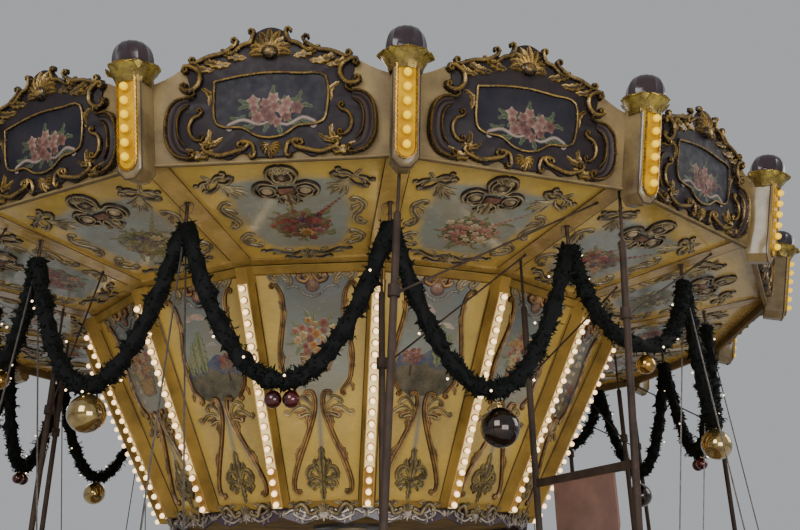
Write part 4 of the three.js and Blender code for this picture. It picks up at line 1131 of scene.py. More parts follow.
# Valance of the cone
# A fretted skirt under the foot of the cone, painted aubergine, with lace-like scrolls, shells and drops
# in silver gilt pinned to its face.
wear(even_paint("aubergine_gloss_paint", "4a3440", "241620"), "cone_valance")
VALANCE_OUT, VALANCE_TOP = 1.9552, 2.1747
SILVER = tones("2c1c22", "7e6c68", "ddd0b6")
lace_scroll, lace_leaf, lace_fan = strokes(SILVER)
lace = [
    lace_scroll([(0.03, -0.030), (0.10, -0.018), (0.16, -0.045), (0.22, -0.022)], 0.016, 0.012,
                (-0.9, 0.026), (-0.9, 0.026)),
    lace_scroll([(0.24, -0.025), (0.30, -0.018), (0.345, -0.045)], 0.015, 0.012, (-0.8, 0.022), (0.8, 0.022)),
    lace_scroll([(0.08, -0.075), (0.15, -0.105), (0.22, -0.085), (0.27, -0.06)], 0.014, 0.011, (0.9, 0.022),
                (0.9, 0.022)),
    lace_leaf((0.16, -0.05), (0.19, -0.13), 0.2, 0.020, 0.010, 3),
    lace_leaf((0.26, -0.04), (0.25, -0.115), -0.2, 0.018, 0.010, 3),
    lace_leaf((0.06, -0.05), (0.09, -0.10), 0.2, 0.016, 0.010, 3),
    lace_fan((0.375, -0.03), 0.05, 4, 120, 0.011, 0.010, turn=250, lobes=0, rows=6),
]
drop = lace_fan((0, -0.02), 0.10, 7, 150, 0.014, 0.013, turn=270, short=0.6, lobes=0, rows=7)
crowns = lace_fan((0, -0.03), 0.045, 5, 150, 0.012, 0.012, turn=90, short=0.7, lobes=0, rows=6)
silver_gilt = gilt("silver_gilding", (0.09, 0.05, 0.06), 0.25, 0.45, 16.0, 0.5)
make("valance_lace", ring_of(gather([both(*lace), drop, crowns]), VALANCE_OUT, VALANCE_TOP, 0, MID_BAYS),
     silver_gilt)

# Crown boards
# Sixteen flared rounding boards bolted to the rafter ends and the eaves ring, painted antique cream. Their
# top edge sweeps up to the cartouche in the middle of each board.
CROWN_FOOT, CROWN_CORNER, CROWN_RISE, CROWN_LEAN = 4.6587, 4.75, 4.28, math.radians(12.73)
ANTIQUE_CREAM, AUBERGINE = tones("927b50", "1f1519")


def on_crown(shape):
    """A design stood on the face of the crown's boards."""
    return ring_of(shape, CROWN_FOOT, CROWN_RISE, CROWN_LEAN, MID_BAYS)


def dull_paint(name):
    """Old oil paint without its gloss, in the tint of each point: soft clouds of bloom and dirt."""
    material, tree, shader, place = finish(name)
    cloud = ramp(tree, noise(tree, place, 5.0, 6.0, 0.6), [(0.40, 0.35), (0.62, 0.0)])
    grimy = mix(tree, cloud, tint_of(tree), (0.035, 0.026, 0.024, 1))
    plug(shader, Base_Color=grimy, Specular_IOR_Level=0.3)
    rough_and_bump(tree, shader, place, 0.5, 0.7, 18.0, 0.0012)
    return material


share = np.linspace(-1, 1, 33)[None]
height = np.linspace(0, 1, 7)[:, None]
half = 0.9267 + 0.0265 * height
top = 0.600 + 0.135 * ((0.953 - np.abs(share) * 0.953) / 0.33).clip(0, 1) ** 1.8
u, v = share * (half - BOARD_GAP), height * top
front = np.stack(np.broadcast_arrays(u, v, 0 * u), -1)
# Painted shade: each board darkens at its foot and towards its sides beside the lamp boxes.
crown_board_shade = 0.35 * fade(v, 0.10, 0.0) + 0.25 * fade(np.abs(u), 0.78, 0.92)
crown_face = slab(front, 0.030, blend(ANTIQUE_CREAM, paint("5e4c36"), crown_board_shade + 0 * u))
antique_cream = dull_paint("antique_cream_paint")
make("crown_boards", on_crown(crown_face), antique_cream, ["crown"])
foot_bead = tube([(u, 0.012, 0.004) for u in (-0.92, 0, 0.92)], 0.009, 10, ANTIQUE_CREAM)
make("crown_foot_beads", on_crown(foot_bead), antique_cream)

# Cartouches of the crown
# A thick shaped ground with kidney lobes, painted dark aubergine, under a frame of deep carved scrolls in
# worn old gold, with painted shade in their hollows and painted highlights on their crests. The dark panel
# in its middle holds a plain bunch of roses tied with a ribbon.
half_outline = np.array([(0, 0.022), (0.12, 0.030), (0.205, 0.062), (0.31, 0.018), (0.42, 0.072),
                         (0.56, 0.020), (0.65, 0.060),
                (0.745, 0.21), (0.735, 0.35), (0.59, 0.50), (0.612, 0.70), (0.50, 0.765), (0.30, 0.85),
                         (0.18, 0.885),
                (0.11, 0.965), (0, 1.005)])
outline = smooth_ring(np.concatenate([half_outline, half_outline[-2:0:-1] * (-1, 1)]))
middle = np.array([0, 0.45])
outline = (outline - middle) * 0.985 + middle
rings = [(1, -0.004), (1, 0.016), (0.985, 0.022), (0, 0.024), (0, -0.004)]
ground = dome(outline, rings, [AUBERGINE], middle)
make("crown_cartouche_grounds", on_crown(ground), dull_paint("aubergine_ground_paint"))
# Carving colours: painted shade, the paint's own colour and painted highlight.
DULL_GOLD = tones("100a08", "3e2d1b", "b08c42")
KIDNEY = tones("0b0807", "241a1c", "4a3b36")
picture_outline = np.array([(-0.40, 0.60), (-0.40, 0.33), (-0.33, 0.26), (-0.20, 0.25), (-0.10, 0.19),
                            (0, 0.17), (0.10, 0.19),
                            (0.20, 0.25), (0.33, 0.26), (0.40, 0.33), (0.40, 0.60), (0.20, 0.635), (0, 0.65),
                            (-0.20, 0.635)])
picture_edge = smooth_ring(picture_outline)
PICTURE_FACE = 0.0275
rings = [(1, 0.02), (1, 0.027), (0.8, PICTURE_FACE), (0.4, PICTURE_FACE), (0, PICTURE_FACE), (0, 0.02)]
navy = dome(picture_edge, rings, tones("0f0e16", "0f0e16", "14141f", "1f1d28", "2b2732", "0f0e16"), (0, 0.42))
ROSES = [("967868", "582c2a"), ("a48c7a", "6c403a"), ("866456", "482222")]
posy = []
for place in spread_out(16, 0.26, 0.12):
    base = np.array([0.02, 0.37]) + place * 0.8
    out = place / (np.linalg.norm(place) + 1e-9)
    posy.append(leaf(base, base + out * 0.12, random.uniform(-0.3, 0.3), 0.026, 0.004, 3, 7,
                     colours=tones("1c2218", "333c28", "566044"), lift=PICTURE_FACE))
for index, place in enumerate(spread_out(13, 0.19, 0.10)[::-1]):
    size = random.uniform(0.042, 0.062)
    rose = blossom(np.array([0.02, 0.38]) + place, size, 5, *ROSES[index % 3], 0.008, index)
    posy.append(moved(rose, w=PICTURE_FACE))
ribbon = tones("463a38", "7c6b62", "9e8d80")
for turns, line in ((0.6, [(0.02, 0.30), (-0.08, 0.27), (-0.19, 0.31), (-0.29, 0.28)]),
                    (-0.6, [(0.02, 0.30), (0.12, 0.26), (0.23, 0.31), (0.31, 0.28)])):
    posy.append(scroll(line, 0.016, 0.005, end=(turns, 0.03), colours=ribbon, lift=PICTURE_FACE))
make("crown_pictures", on_crown(gather([navy] + posy)), dull_paint("crown_oil_paint"))

kidney_line = curve_through([(0.585, 0.460), (0.652, 0.440), (0.697, 0.375), (0.708, 0.28), (0.696, 0.18),
                             (0.652, 0.103), (0.58, 0.070)], 5)
kidney = carve(kidney_line, 0.048 * swelling(kidney_line, 0.5), 0.034, 7, groove=0.6, colours=KIDNEY)
CARVING_FOOT = 0.012
make("crown_kidneys", on_crown(moved(both(kidney), w=CARVING_FOOT)), dull_paint("kidney_paint"))
gold_scroll, gold_leaf, gold_fan = strokes(DULL_GOLD)
carving = [
    gold_scroll([(0.575, 0.485), (0.66, 0.475), (0.728, 0.405), (0.748, 0.28), (0.736, 0.155),
                 (0.675, 0.068), (0.58, 0.038)],
           0.016, 0.056, (-1.1, 0.042), (-1.1, 0.040)),
    gold_scroll([(0.59, 0.425), (0.635, 0.395), (0.660, 0.34), (0.664, 0.27), (0.648, 0.19), (0.605, 0.135)],
           0.011, 0.048),
    gold_scroll([(0.505, 0.355), (0.555, 0.330), (0.580, 0.27), (0.565, 0.205), (0.525, 0.170)], 0.018,
                0.045, (-1.1, 0.032), (-1.1, 0.034)),
    gold_scroll([(0.615, 0.545), (0.555, 0.545), (0.507, 0.60), (0.515, 0.68), (0.585, 0.725)], 0.024, 0.055,
                (1.0, 0.032), (-1.1, 0.036)),
    gold_scroll([(0.54, 0.745), (0.44, 0.79), (0.34, 0.81), (0.25, 0.87)], 0.020, 0.045, (1.0, 0.034),
                (-0.9, 0.034)),
    gold_scroll([(0.27, 0.80), (0.20, 0.86), (0.14, 0.88), (0.115, 0.95)], 0.020, 0.050, (0.9, 0.034),
                (-0.8, 0.026)),
    gold_leaf((0.17, 0.77), (0.36, 0.845), -0.12, 0.046, 0.046, 5, 13),
    gold_leaf((0.28, 0.73), (0.50, 0.79), -0.14, 0.044, 0.046, 5, 13),
    gold_leaf((0.40, 0.69), (0.585, 0.765), -0.14, 0.036, 0.044, 4, 11),
    gold_leaf((0.60, 0.12), (0.40, 0.10), 0.25, 0.042, 0.045, 4, 13),
    gold_leaf((0.52, 0.17), (0.34, 0.19), 0.25, 0.034, 0.038, 4),
    gold_scroll([(0.46, 0.085), (0.36, 0.055), (0.26, 0.075), (0.18, 0.10)], 0.022, 0.046, (1.0, 0.036),
                (-1.0, 0.036)),
    gold_scroll([(0.20, 0.15), (0.13, 0.13), (0.11, 0.06)], 0.020, 0.044, (-0.8, 0.030), (0.8, 0.026)),
    gold_leaf((0.44, 0.42), (0.50, 0.56), 0.25, 0.032, 0.036, 3),
    gold_leaf((0.44, 0.26), (0.50, 0.13), -0.25, 0.030, 0.034, 3),
]
# The boss in the crest is dark at its rim as painted shade and light on top as a painted highlight.
crest = [
    gold_fan((0, 0.775), 0.215, 9, 170, 0.040, 0.062, short=0.74, lobes=0, rows=9),
    dome(oval((0, 0.80), 0.062, 0.050, 16), [(1, 0.01), (1, 0.045), (0.7, 0.066), (0.3, 0.074), (0, 0.076),
                                             (0, 0.01)],
         [DULL_GOLD[tone] for tone in (0, 0, 1, 2, 2, 0)]),
    gold_fan((0, 0.125), 0.105, 9, 200, 0.022, 0.050, turn=270, short=0.7, lobes=0, rows=7),
]
frame_edge = np.concatenate([picture_edge, picture_edge[:1]])
crest.append(carve(frame_edge, 0.012, 0.016, 5, colours=DULL_GOLD, lift=0.024))
worn_gold = gilt("worn_old_gold", (0.03, 0.02, 0.016), 0.22, 0.45, 12.0, 0.6)
make("crown_carving", on_crown(moved(both(*carving), w=CARVING_FOOT)), worn_gold)
make("crown_crests", on_crown(moved(gather(crest), w=0.004)), worn_gold)

# Lamp boxes of the crown
# A box of dull cream boards with a pointed foot, screwed on each corner and outlined in brown. It carries a
# yellow plate in a rope border with six big lamps, a collar of gilt leaves and a dark turned urn. The yellow
# plate and lamp cups glow a little, as painted light from the lamps.
BOX_MIDDLE = 0.0875


def on_corner(shape):
    """A design stood on the flared line of the crown's corners."""
    return ring_of(shape, CROWN_CORNER, CROWN_RISE, CROWN_LEAN, range(BAYS))


box_outline = np.array([(-0.095, 0.64), (-0.095, 0.4), (-0.095, 0.16), (-0.095, -0.055), (-0.038, -0.118),
                        (0.038, -0.118), (0.095, -0.055), (0.095, 0.16), (0.095, 0.4), (0.095, 0.64)])
centre, box_back, box_front = np.array([0, 0.26]), -0.028, 0.1745
layers = [(0.0, box_back), (0.0, 0.152), (0.010, 0.166), (0.022, box_front)]
box = np.stack([at_depth(box_outline + np.sign(centre - box_outline) * inset, w) for inset, w in layers])
box_shape = skin(closed(box, (*centre, box_back), (*centre, box_front)))
make("lamp_boxes", on_corner(box_shape), even_paint("lamp_box_paint", "8f7a52", "52402a"))
brown_line = tube(at_depth(box_outline * (1.005, 1), 0.153), 0.0045, 6)
make("lamp_box_outlines", on_corner(brown_line), joint_brown)

turn = np.linspace(np.pi, 2 * np.pi, 13)
plate_half = 0.078
round_foot = np.stack([plate_half * np.cos(turn), 0.016 + plate_half * np.sin(turn)], -1)
plate_outline = np.concatenate([[(plate_half, 0.3), (plate_half, 0.612), (-plate_half, 0.612),
                                 (-plate_half, 0.3)], round_foot])
yellow = paint("e8b400")
rings = [(1, 0.170), (1, 0.181), (0.97, 0.1825), (0.5, 0.1825), (0, 0.1825), (0, 0.170)]
plate = dome(plate_outline, rings, [yellow], (0, 0.28))
# The yellow enamel of the plates and lamp cups glows a little: painted light from the lamps.
glowing_yellow_enamel, tree, shader, place = finish("lit_yellow_enamel")
lit = ramp(tree, noise(tree, place, 6.0, 5.0), [(0.35, (0.36, 0.17, 0.0)), (0.62, (0.56, 0.32, 0.0))])
plug(shader, Base_Color=lit, Emission_Color=lit, Emission_Strength=0.22, Specular_IOR_Level=0.2)
rough_and_bump(tree, shader, place, 0.3, 0.5, 20.0, 0.001)
make("lamp_plates", on_corner(plate), glowing_yellow_enamel)


def rope(path, radius, pitch):
    """A turned rope moulding: a tube whose section has two lobes, and turns once in each pitch along the
    path. Its colour is painted shade in the hollows between the strands and painted highlight on them."""
    strands, sides, cut = 2, 5, 0.28
    path = np.asarray(path, float)
    run = np.concatenate([[0], np.cumsum(np.linalg.norm(np.diff(path, axis=0), axis=1))])
    fine = np.arange(0, run[-1], pitch / 3)
    path = np.stack([np.interp(fine, run, path[:, i]) for i in range(3)], -1)
    out = np.array([0.0, 0.0, 1.0])
    across = np.cross(unit(np.gradient(path, axis=0)), out)
    angle = np.linspace(0, 2 * np.pi, sides, endpoint=False)[None]
    lobe = 1 - cut * (0.5 + 0.5 * np.cos(strands * angle + 2 * np.pi * fine[:, None] / pitch))
    reach = (radius * lobe)[..., None]
    cosine, sine = np.cos(angle)[..., None], np.sin(angle)[..., None]
    points = path[:, None] + reach * (across[:, None] * cosine + out * sine)
    shades = blend(paint("3c2404"), paint("e8a818"), (ends_twice(lobe) - 1 + cut) / cut)
    return skin(closed(points, path[0], path[-1]), shades)


rim = plate_outline[[1, 0] + list(range(len(plate_outline) - 1, 1, -1))] * (0.90, 1)
bright_gilding = gilt("bright_gilding", (0.10, 0.06, 0.02), 0.2, 0.4, 14.0, 0.6)
border = rope(at_depth(rim, 0.183), 0.0115, 0.034)
make("lamp_plate_ropes", on_corner(border), bright_gilding)
yellow_lamp = lit_glass("yellow_lamp_glass", [(1.0, 0.68, 0.01), (0.80, 0.34, 0.0)], 1.05,
                        (0.6, 0.36, 0.0, 1))
crown_heights = np.linspace(0.025, 0.534, 6)
crown_lamps = gather(moved(globe(0.030, 12, 7), 0, height, 0.214) for height in crown_heights)
make("crown_lamps", on_corner(crown_lamps), yellow_lamp)
cup = out_of_face([(0, 0.181), (0.037, 0.181), (0.038, 0.187), (0.030, 0.192), (0.026, 0.199), (0, 0.199)],
                  8, yellow)
cups = gather(moved(cup, 0, height) for height in crown_heights)
make("crown_lamp_cups", on_corner(cups), glowing_yellow_enamel)


def leaf_collar(profile, leaves, thickness, gold):
    """A ring of leaves round the box. Each angle follows the same profile of (radius, height), further
    along it in the middle of a leaf than between two, so that the tips curl over. The wall goes up outside
    and comes back down inside. Its colour is painted shade at the foot of the leaves and on the inside
    wall, and painted highlight towards the curled tips."""
    angle = np.linspace(0, 2 * np.pi, 24, endpoint=False)[None]
    tip = np.abs(np.cos(leaves * angle / 2)) ** 0.9
    along = np.linspace(0, 1, 7)[:, None] * (0.42 + 0.58 * tip)
    line = curve_through(profile, 6)
    place = np.linspace(0, 1, len(line))
    reach = np.interp(along, place, line[:, 0]) + 0.004 * np.cos(leaves * 3 * angle)
    height = np.interp(along, place, line[:, 1])
    reach_step, height_step = np.gradient(reach, axis=0), np.gradient(height, axis=0)
    step = np.hypot(reach_step, height_step)
    walls = [(reach, height), (reach - thickness * height_step / step,
                               height + thickness * reach_step / step)]
    outer, inner = [np.stack([wide * np.cos(angle), high, wide * np.sin(angle)], -1) for wide, high in walls]
    points = np.concatenate([outer, inner[::-1]])
    light = (0.15 + 0.85 * along * (0.5 + 0.5 * tip)).clip(0, 1)
    shades = np.concatenate([blend(gold[0], gold[2], light), blend(gold[0], gold[1], 0.6 * light)[::-1]])
    return skin(points, shades, wrap_rows=True)


BRIGHT_GOLD = tones("4a3210", "a8842c", "e6cc5e")
outer_leaves = [(0.116, 0.575), (0.128, 0.615), (0.152, 0.650), (0.176, 0.690), (0.192, 0.694),
                (0.198, 0.680)]
inner_leaves = [(0.118, 0.600), (0.130, 0.640), (0.148, 0.672), (0.160, 0.700), (0.168, 0.712),
                (0.172, 0.706)]
collar = [leaf_collar(outer_leaves, 4, 0.007, BRIGHT_GOLD), leaf_collar(inner_leaves, 8, 0.006, BRIGHT_GOLD)]
make("lamp_box_collars", on_corner(moved(gather(collar), w=BOX_MIDDLE)), bright_gilding)
urn_line = curve_through([(0.0, 0.62), (0.085, 0.62), (0.108, 0.65), (0.136, 0.69), (0.149, 0.735),
                          (0.146, 0.785), (0.132, 0.835), (0.106, 0.875), (0.068, 0.897), (0.0, 0.903)], 2)
points, faces, colours = lathe(urn_line, 24, paint("2a1d22"))
around = np.arctan2(points[:, 2], points[:, 0])
fluted = 1 - 0.07 * np.cos(6 * around) ** 2 * fade(points[:, 1], 0.66, 0.72)
urn = points * fluted[:, None] ** (1, 0, 1), faces, colours
urn_paint = gloss_paint("urn_paint", 0.12, 0.3, 0.1, (0.05, 0.02, 0.02))
make("crown_urns", on_corner(moved(urn, w=BOX_MIDDLE)), urn_paint)

# Drop rods and stays
# Drawn steel tube in dark brown enamel, screwed on a thinner upper rod, with a clamp collar for the thin
# stay to the next rib and a welded foot plate on the deck. The outer rods lean. A rod's numbers are its
# radius at the rib, its collar's height, and how far its foot lies inwards and back.
ROD_CORNERS = [corner for corner in range(BAYS) if corner % 4 < 2]
WIRE_CORNERS = [corner for corner in range(BAYS) if corner % 4 > 1]
rod_paint = enamel("rod_enamel", (0.060, 0.038, 0.026), (0.030, 0.019, 0.014), (0.13, 0.09, 0.06), 0.5, 0.7,
                   scale=6)
plug(shader_of(rod_paint), Specular_IOR_Level=0.2)
RIB_UNDERSIDE, CEILING_SLOPE, DECK_TOP = 4.18, 0.1173, 0.4003
OUTER_ROD, INNER_ROD = (4.62, 3.343, 0.120, 0.190), (3.35, 3.166, 0.0, 0.0)


def ceiling_at(radius):
    """Height of the ceiling ribs' underside at a corner radius."""
    return RIB_UNDERSIDE + (radius - RIB_START) * CEILING_SLOPE


def rod_line(corner, radius, inward, back, heights):
    """The rod's axis: straight, with its foot moved towards the mast and back along the turn."""
    high = ceiling_at(radius)
    share = (high - np.asarray(heights)) / (high - DECK_TOP)
    x, y = -back * share, inward * share - radius
    angle = corner * BAY
    x, y = x * math.cos(angle) - y * math.sin(angle), x * math.sin(angle) + y * math.cos(angle)
    return np.stack([x, y, heights], -1)


def drop_rod(corner, radius, collar, inward, back):
    """One rod: its radius steps at the foot plate, the collar and where the thin upper rod is screwed in."""
    high = ceiling_at(radius) - 0.0023
    steps = [(DECK_TOP, 0.070), (0.4143, 0.070), (0.4163, 0.068), (0.4163, 0.034), (0.428, 0.028),
             (0.44, 0.027), (1.4, 0.027),
             (collar - 0.045, 0.027), (collar - 0.045, 0.040), (collar - 0.041, 0.044),
             (collar + 0.041, 0.044), (collar + 0.045, 0.040),
             (collar + 0.045, 0.027), (high - 0.460, 0.027), (high - 0.452, 0.024), (high - 0.435, 0.012),
             (high - 0.2, 0.012), (high, 0.012)]
    heights, sizes = np.array(steps).T
    axis = rod_line(corner, radius, inward, back, heights + 1e-4 * np.arange(len(steps)))
    return tube(axis, sizes, 18, aside=(0.3, 1.0, 0.0))


for corner in ROD_CORNERS:
    make("outer_rod_%02d" % corner, drop_rod(corner, *OUTER_ROD), rod_paint,
         ["outer_drop_rod_%02d" % corner], 30)
    make("inner_rod_%02d" % corner, drop_rod(corner, *INNER_ROD), rod_paint,
         ["inner_drop_rod_%02d" % corner], 30)


def stay(corner, radius, collar, inward, back, end_radius):
    """A thin bar from a rod's collar up to the next rib, with a flattened lug at each end."""
    start = rod_line(corner, radius, inward, back, [collar])[0]
    angle = (corner + 1) * BAY
    end = np.array([end_radius * math.sin(angle), -end_radius * math.cos(angle),
                    ceiling_at(end_radius) - 0.014])
    away = unit((end - start) * (1, 1, 0))
    start, end = start + away * 0.040, end - away * 0.030
    share = np.array([0, 0.012, 0.02, 0.5, 0.98, 0.988, 1.0])[:, None]
    reach = np.array([0.012, 0.013, 0.008, 0.008, 0.008, 0.013, 0.012])
    return tube(start + (end - start) * share, reach, 10)


stays = [stay(corner, *rod) for rod in ((*OUTER_ROD, 4.405), (*INNER_ROD, 3.47)) for corner in ROD_CORNERS]
make("rod_stays", gather(stays), rod_paint)

# Tie wires and eyes
# Taut galvanised wire rope in pairs from the eyes of half the ribs to the deck, and two wire loops twisted
# round the stem of every eye, which hold the garland up. An iron sleeve with a washer covers each stem.
wire_finish = enamel("galvanised_wire", (0.20, 0.18, 0.16), (0.11, 0.095, 0.08), (0.07, 0.05, 0.04), 0.3,
                     0.5, scale=20, metal=0.7)
wear(wire_finish, *["tie_wires_%02d" % corner for corner in WIRE_CORNERS])


def eye_radius(corner):
    """The eyes that carry the garland only lie nearer the mast than those that carry the tie wires too."""
    return 3.99 if corner % 4 < 2 else 4.10


hooks = []
for corner in range(BAYS):
    radius = eye_radius(corner)
    for lean in (-0.35, 0.35):
        turn_by = np.linspace(-0.4 * np.pi, 1.4 * np.pi, 15)
        loop = np.stack([0.030 * np.cos(turn_by) + lean * 0.10, 0.050 * np.sin(turn_by),
                         0.030 * lean * np.cos(turn_by) + lean * 0.03], -1)
        wire = tube(loop, 0.0035, 6, aside=(0.1, 0.2, 1.0))
        hooks.append(stand(wire, radius, ceiling_at(radius) - 0.055, 0, corner))
make("garland_hooks", gather(hooks), wire_finish)
sleeve = lathe([(0, -0.183), (0.0135, -0.183), (0.0152, -0.179), (0.0152, -0.006), (0.026, -0.005),
                (0.026, 0.0), (0, 0.0)], 14)
sleeves = [stand(sleeve, eye_radius(corner), ceiling_at(eye_radius(corner)), 0,
                 corner) for corner in range(BAYS)]
blackened_iron = enamel("blackened_iron", (0.10, 0.06, 0.035), (0.045, 0.03, 0.022), (0.2, 0.12, 0.06), 0.3,
                        0.5, scale=14, metal=0.5)
make("garland_eye_sleeves", gather(sleeves), blackened_iron)

# Platform
# A ring deck of oiled fir planks on joists, with a moulded rim board outside and a plain one inside, hung on
# the rods' foot plates.
DECK_INNER, DECK_OUTER, PLANK_TOP, PLANK_ROWS, PLANK_GAP = 3.2, 4.72, 0.3995, 12, 0.004
planks = []
for row in range(PLANK_ROWS):
    inner = DECK_INNER + (DECK_OUTER - DECK_INNER) * row / PLANK_ROWS + PLANK_GAP / 2
    outer = DECK_INNER + (DECK_OUTER - DECK_INNER) * (row + 1) / PLANK_ROWS - PLANK_GAP / 2
    near, far = inner * FLAT, outer * FLAT
    depth = np.array([near, near + 0.003, far - 0.003, far])[:, None]
    half_here = depth * math.tan(BAY / 2) - 0.0015
    along_u = np.linspace(-1, 1, 6)[None] * half_here
    level = np.array([-0.002, 0.0, 0.0, -0.002])[:, None] + 0 * along_u
    front = np.stack([along_u, depth + 0 * along_u, level], -1)
    planks.append(slab(front, 0.036, paint("8a6a44") * (0.75 + 0.5 * random.random())))
deck_top = []
for points, faces, colours in planks:
    u, depth, level = points.T
    for bay in range(BAYS):
        tone = 0.8 + 0.4 * random.random()
        angle = (bay + 0.5) * BAY
        x = u * math.cos(angle) + depth * math.sin(angle)
        y = u * math.sin(angle) - depth * math.cos(angle)
        deck_top.append((np.stack([x, y, PLANK_TOP + level], -1), faces, colours * tone))
oiled_fir, tree, shader, place = finish("oiled_fir_planks")
grain = ramp(tree, noise(tree, place, 14.0, 8.0, distortion=2.0), [(0.35, 0.65), (0.6, 0.0)])
plug(shader, Base_Color=mix(tree, grain, tint_of(tree), (0.07, 0.045, 0.025, 1)))
rough_and_bump(tree, shader, place, 0.5, 0.8, 30.0, 0.002)
make("deck_planks", gather(deck_top), oiled_fir, ["platform_deck"])
wear(even_paint("joist_paint", "5a4a38", "35291d", 0.5, 0.8), "platform_joists")
rim_paint = even_paint("rim_gloss_paint", "8c3a2c", "5c2018")
wear(rim_paint, "platform_outer_rim", "platform_inner_rim")
RIM_RADIUS = 4.7608


def on_rim(shape):
    """A design stood upright on the faces of the outer rim, with its heights over the ground."""
    return ring_of(shape, RIM_RADIUS * FLAT, 0, 0, MID_BAYS)


half = RIM_RADIUS * math.sin(BAY / 2)
mouldings = [on_rim(tube([(u, level, 0.0) for u in (-half, 0, half)], size, 10))
             for level, size in ((0.372, 0.013), (0.232, 0.016), (0.340, 0.006))]
make("rim_mouldings", gather(mouldings), old_gold)
swirl = both(red_scroll([(0.10, 0.30), (0.22, 0.335), (0.34, 0.27), (0.48, 0.305)], 0.014, 0.010,
                        (-1.0, 0.028), (1.0, 0.028)),
             red_scroll([(0.50, 0.29), (0.60, 0.26), (0.72, 0.315), (0.82, 0.29)], 0.013, 0.010,
                        (-1.0, 0.024), (1.0, 0.026)),
             red_leaf((0.30, 0.29), (0.40, 0.32), 0.2, 0.018, 0.008, 3))
middle = red_fan((0, 0.275), 0.06, 7, 170, 0.014, 0.012, short=0.75, lobes=0, rows=7)
make("rim_ornament", on_rim(gather([swirl, middle])), old_gold)

# Notice board
# A bare board of brownish-pink faced plywood with rounded lower corners, screwed under a steel crossbar
# between the two rods of one rib. Nothing is written on it.
wear(rod_paint, "sign_crossbar")
wear(even_paint("bare_board_face", "8a6456", "66483c", 0.5, 0.7), "sign_board")

# Fir garland
# Branch tips of artificial fir twisted into a wire core, hung from eye to eye under the ribs with tiny warm
# lights wound in. The bays come in fours: three deep swags of different depth, and a shallow one.
CORE, ROOTS, TUFTS, TWIGS, TWIG_NEEDLES, LIGHTS, LIGHTS_OUT = 0.064, 0.050, 400, 90, 9, 7, 0.100
SWAGS = [(1.27, 0.8), (0.74, 3.2), (1.19, 0.8), (1.25, 0.8)]
SWAG_DROP = 0.172


def swag_end(corner):
    """Where the garland is tied, under the eye of a corner."""
    radius = eye_radius(corner)
    angle = corner * BAY
    return np.array([radius * math.sin(angle), -radius * math.cos(angle), ceiling_at(radius) - SWAG_DROP])


def swag_line(bay, share):
    """Points of a bay's swag and its direction there. Its height follows a hyperbolic cosine, rounder at
    its foot where it bends more, and the share runs evenly along such a line."""
    sag, bend = SWAGS[bay % 4]
    x = np.arcsinh((2 * share - 1) * math.sinh(bend)) / bend
    first, last = swag_end(bay), swag_end(bay + 1)
    steep = sag / (math.cosh(bend) - 1)
    points = first + (last - first) * (1 + x[..., None]) / 2
    points[..., 2] -= sag - steep * (np.cosh(bend * x) - 1)
    along = np.broadcast_to((last - first) / 2, points.shape).copy()
    along[..., 2] += steep * bend * np.sinh(bend * x)
    return points, unit(along)


def about_swag(bay, share, reach, angle):
    """Points at a distance from a swag's line and an angle round it, and the directions outwards and along
    it."""
    points, along = swag_line(bay, share)
    aside = unit(np.cross(along, (0.0, 0.0, 1.0)))
    over = np.cross(aside, along)
    out = over * np.cos(angle)[..., None] + aside * np.sin(angle)[..., None]
    return points + out * np.asarray(reach)[..., None], out, along


def fullness(bay, share):
    """How full a swag is at each place, where its branches were bunched or pulled out."""
    return (1 + 0.10 * np.sin(61 * share + 5 * bay) + 0.08 * np.sin(103 * share + 2 * bay)
            + 0.07 * np.sin(163 * share + 3 * bay))


def fir_core(bay):
    """The knobbly middle of a swag, where the needles stand too close to be told apart."""
    rows, around = np.linspace(0.004, 0.996, 56), np.linspace(0, 2 * np.pi, 8, endpoint=False)
    share, angle = np.meshgrid(rows, around, indexing="ij")
    knobs = 1 + 0.13 * np.sin(97 * share + 3 * angle) + 0.10 * np.sin(171 * share - 2 * angle + bay)
    points = about_swag(bay, share, CORE * knobs * fullness(bay, share), angle)[0]
    return skin(closed(points, points[0].mean(0), points[-1].mean(0)), paint("030604"))


def spikes(foot, tip, size, first, second):
    """Three-sided spikes from each foot to its tip, about the two given directions across."""
    turn_by = np.array([0, 2 * np.pi / 3, 4 * np.pi / 3])[:, None]
    ring = size[..., None] * (first[..., None, :] * np.cos(turn_by) + second[..., None, :] * np.sin(turn_by))
    points = np.concatenate([foot[..., None, :] + ring, tip[..., None, :]], -2).reshape(-1, 3)
    spike = np.array([(0, 1, 3), (1, 2, 3), (2, 0, 3), (0, 2, 1)])
    return points, (np.arange(len(points) // 4)[:, None, None] * 4 + spike).reshape(-1, 3)


def fir_tufts(bay):
    """The thick tufts of needles that hide the wire core: short fat spikes that stand out of it and lean
    along it, with painted shade at their roots and a painted highlight at their tips."""
    dice = np.random.default_rng(90 + bay)
    share = (np.arange(TUFTS) + dice.random(TUFTS)) / TUFTS
    full = fullness(bay, share)
    root, out, along = about_swag(bay, share, ROOTS * full, dice.random(TUFTS) * 2 * np.pi)
    lean = dice.normal(0, 0.7, (TUFTS, 1))
    way = unit(out + along * lean + np.cross(out, along) * dice.normal(0, 0.4, (TUFTS, 1)))
    first = unit(np.cross(way, along))
    tip = root + way * (full * dice.uniform(0.030, 0.062, TUFTS))[:, None]
    points, faces = spikes(root, tip, dice.uniform(0.014, 0.024, (TUFTS, 1)), first, np.cross(way, first))
    green = blend(paint("050b06"), paint("0f1c12"), dice.random(TUFTS))
    shades = green[:, None] * np.array([0.5, 0.5, 0.5, 1.3])[:, None]
    return points, faces, shades.reshape(-1, 3)


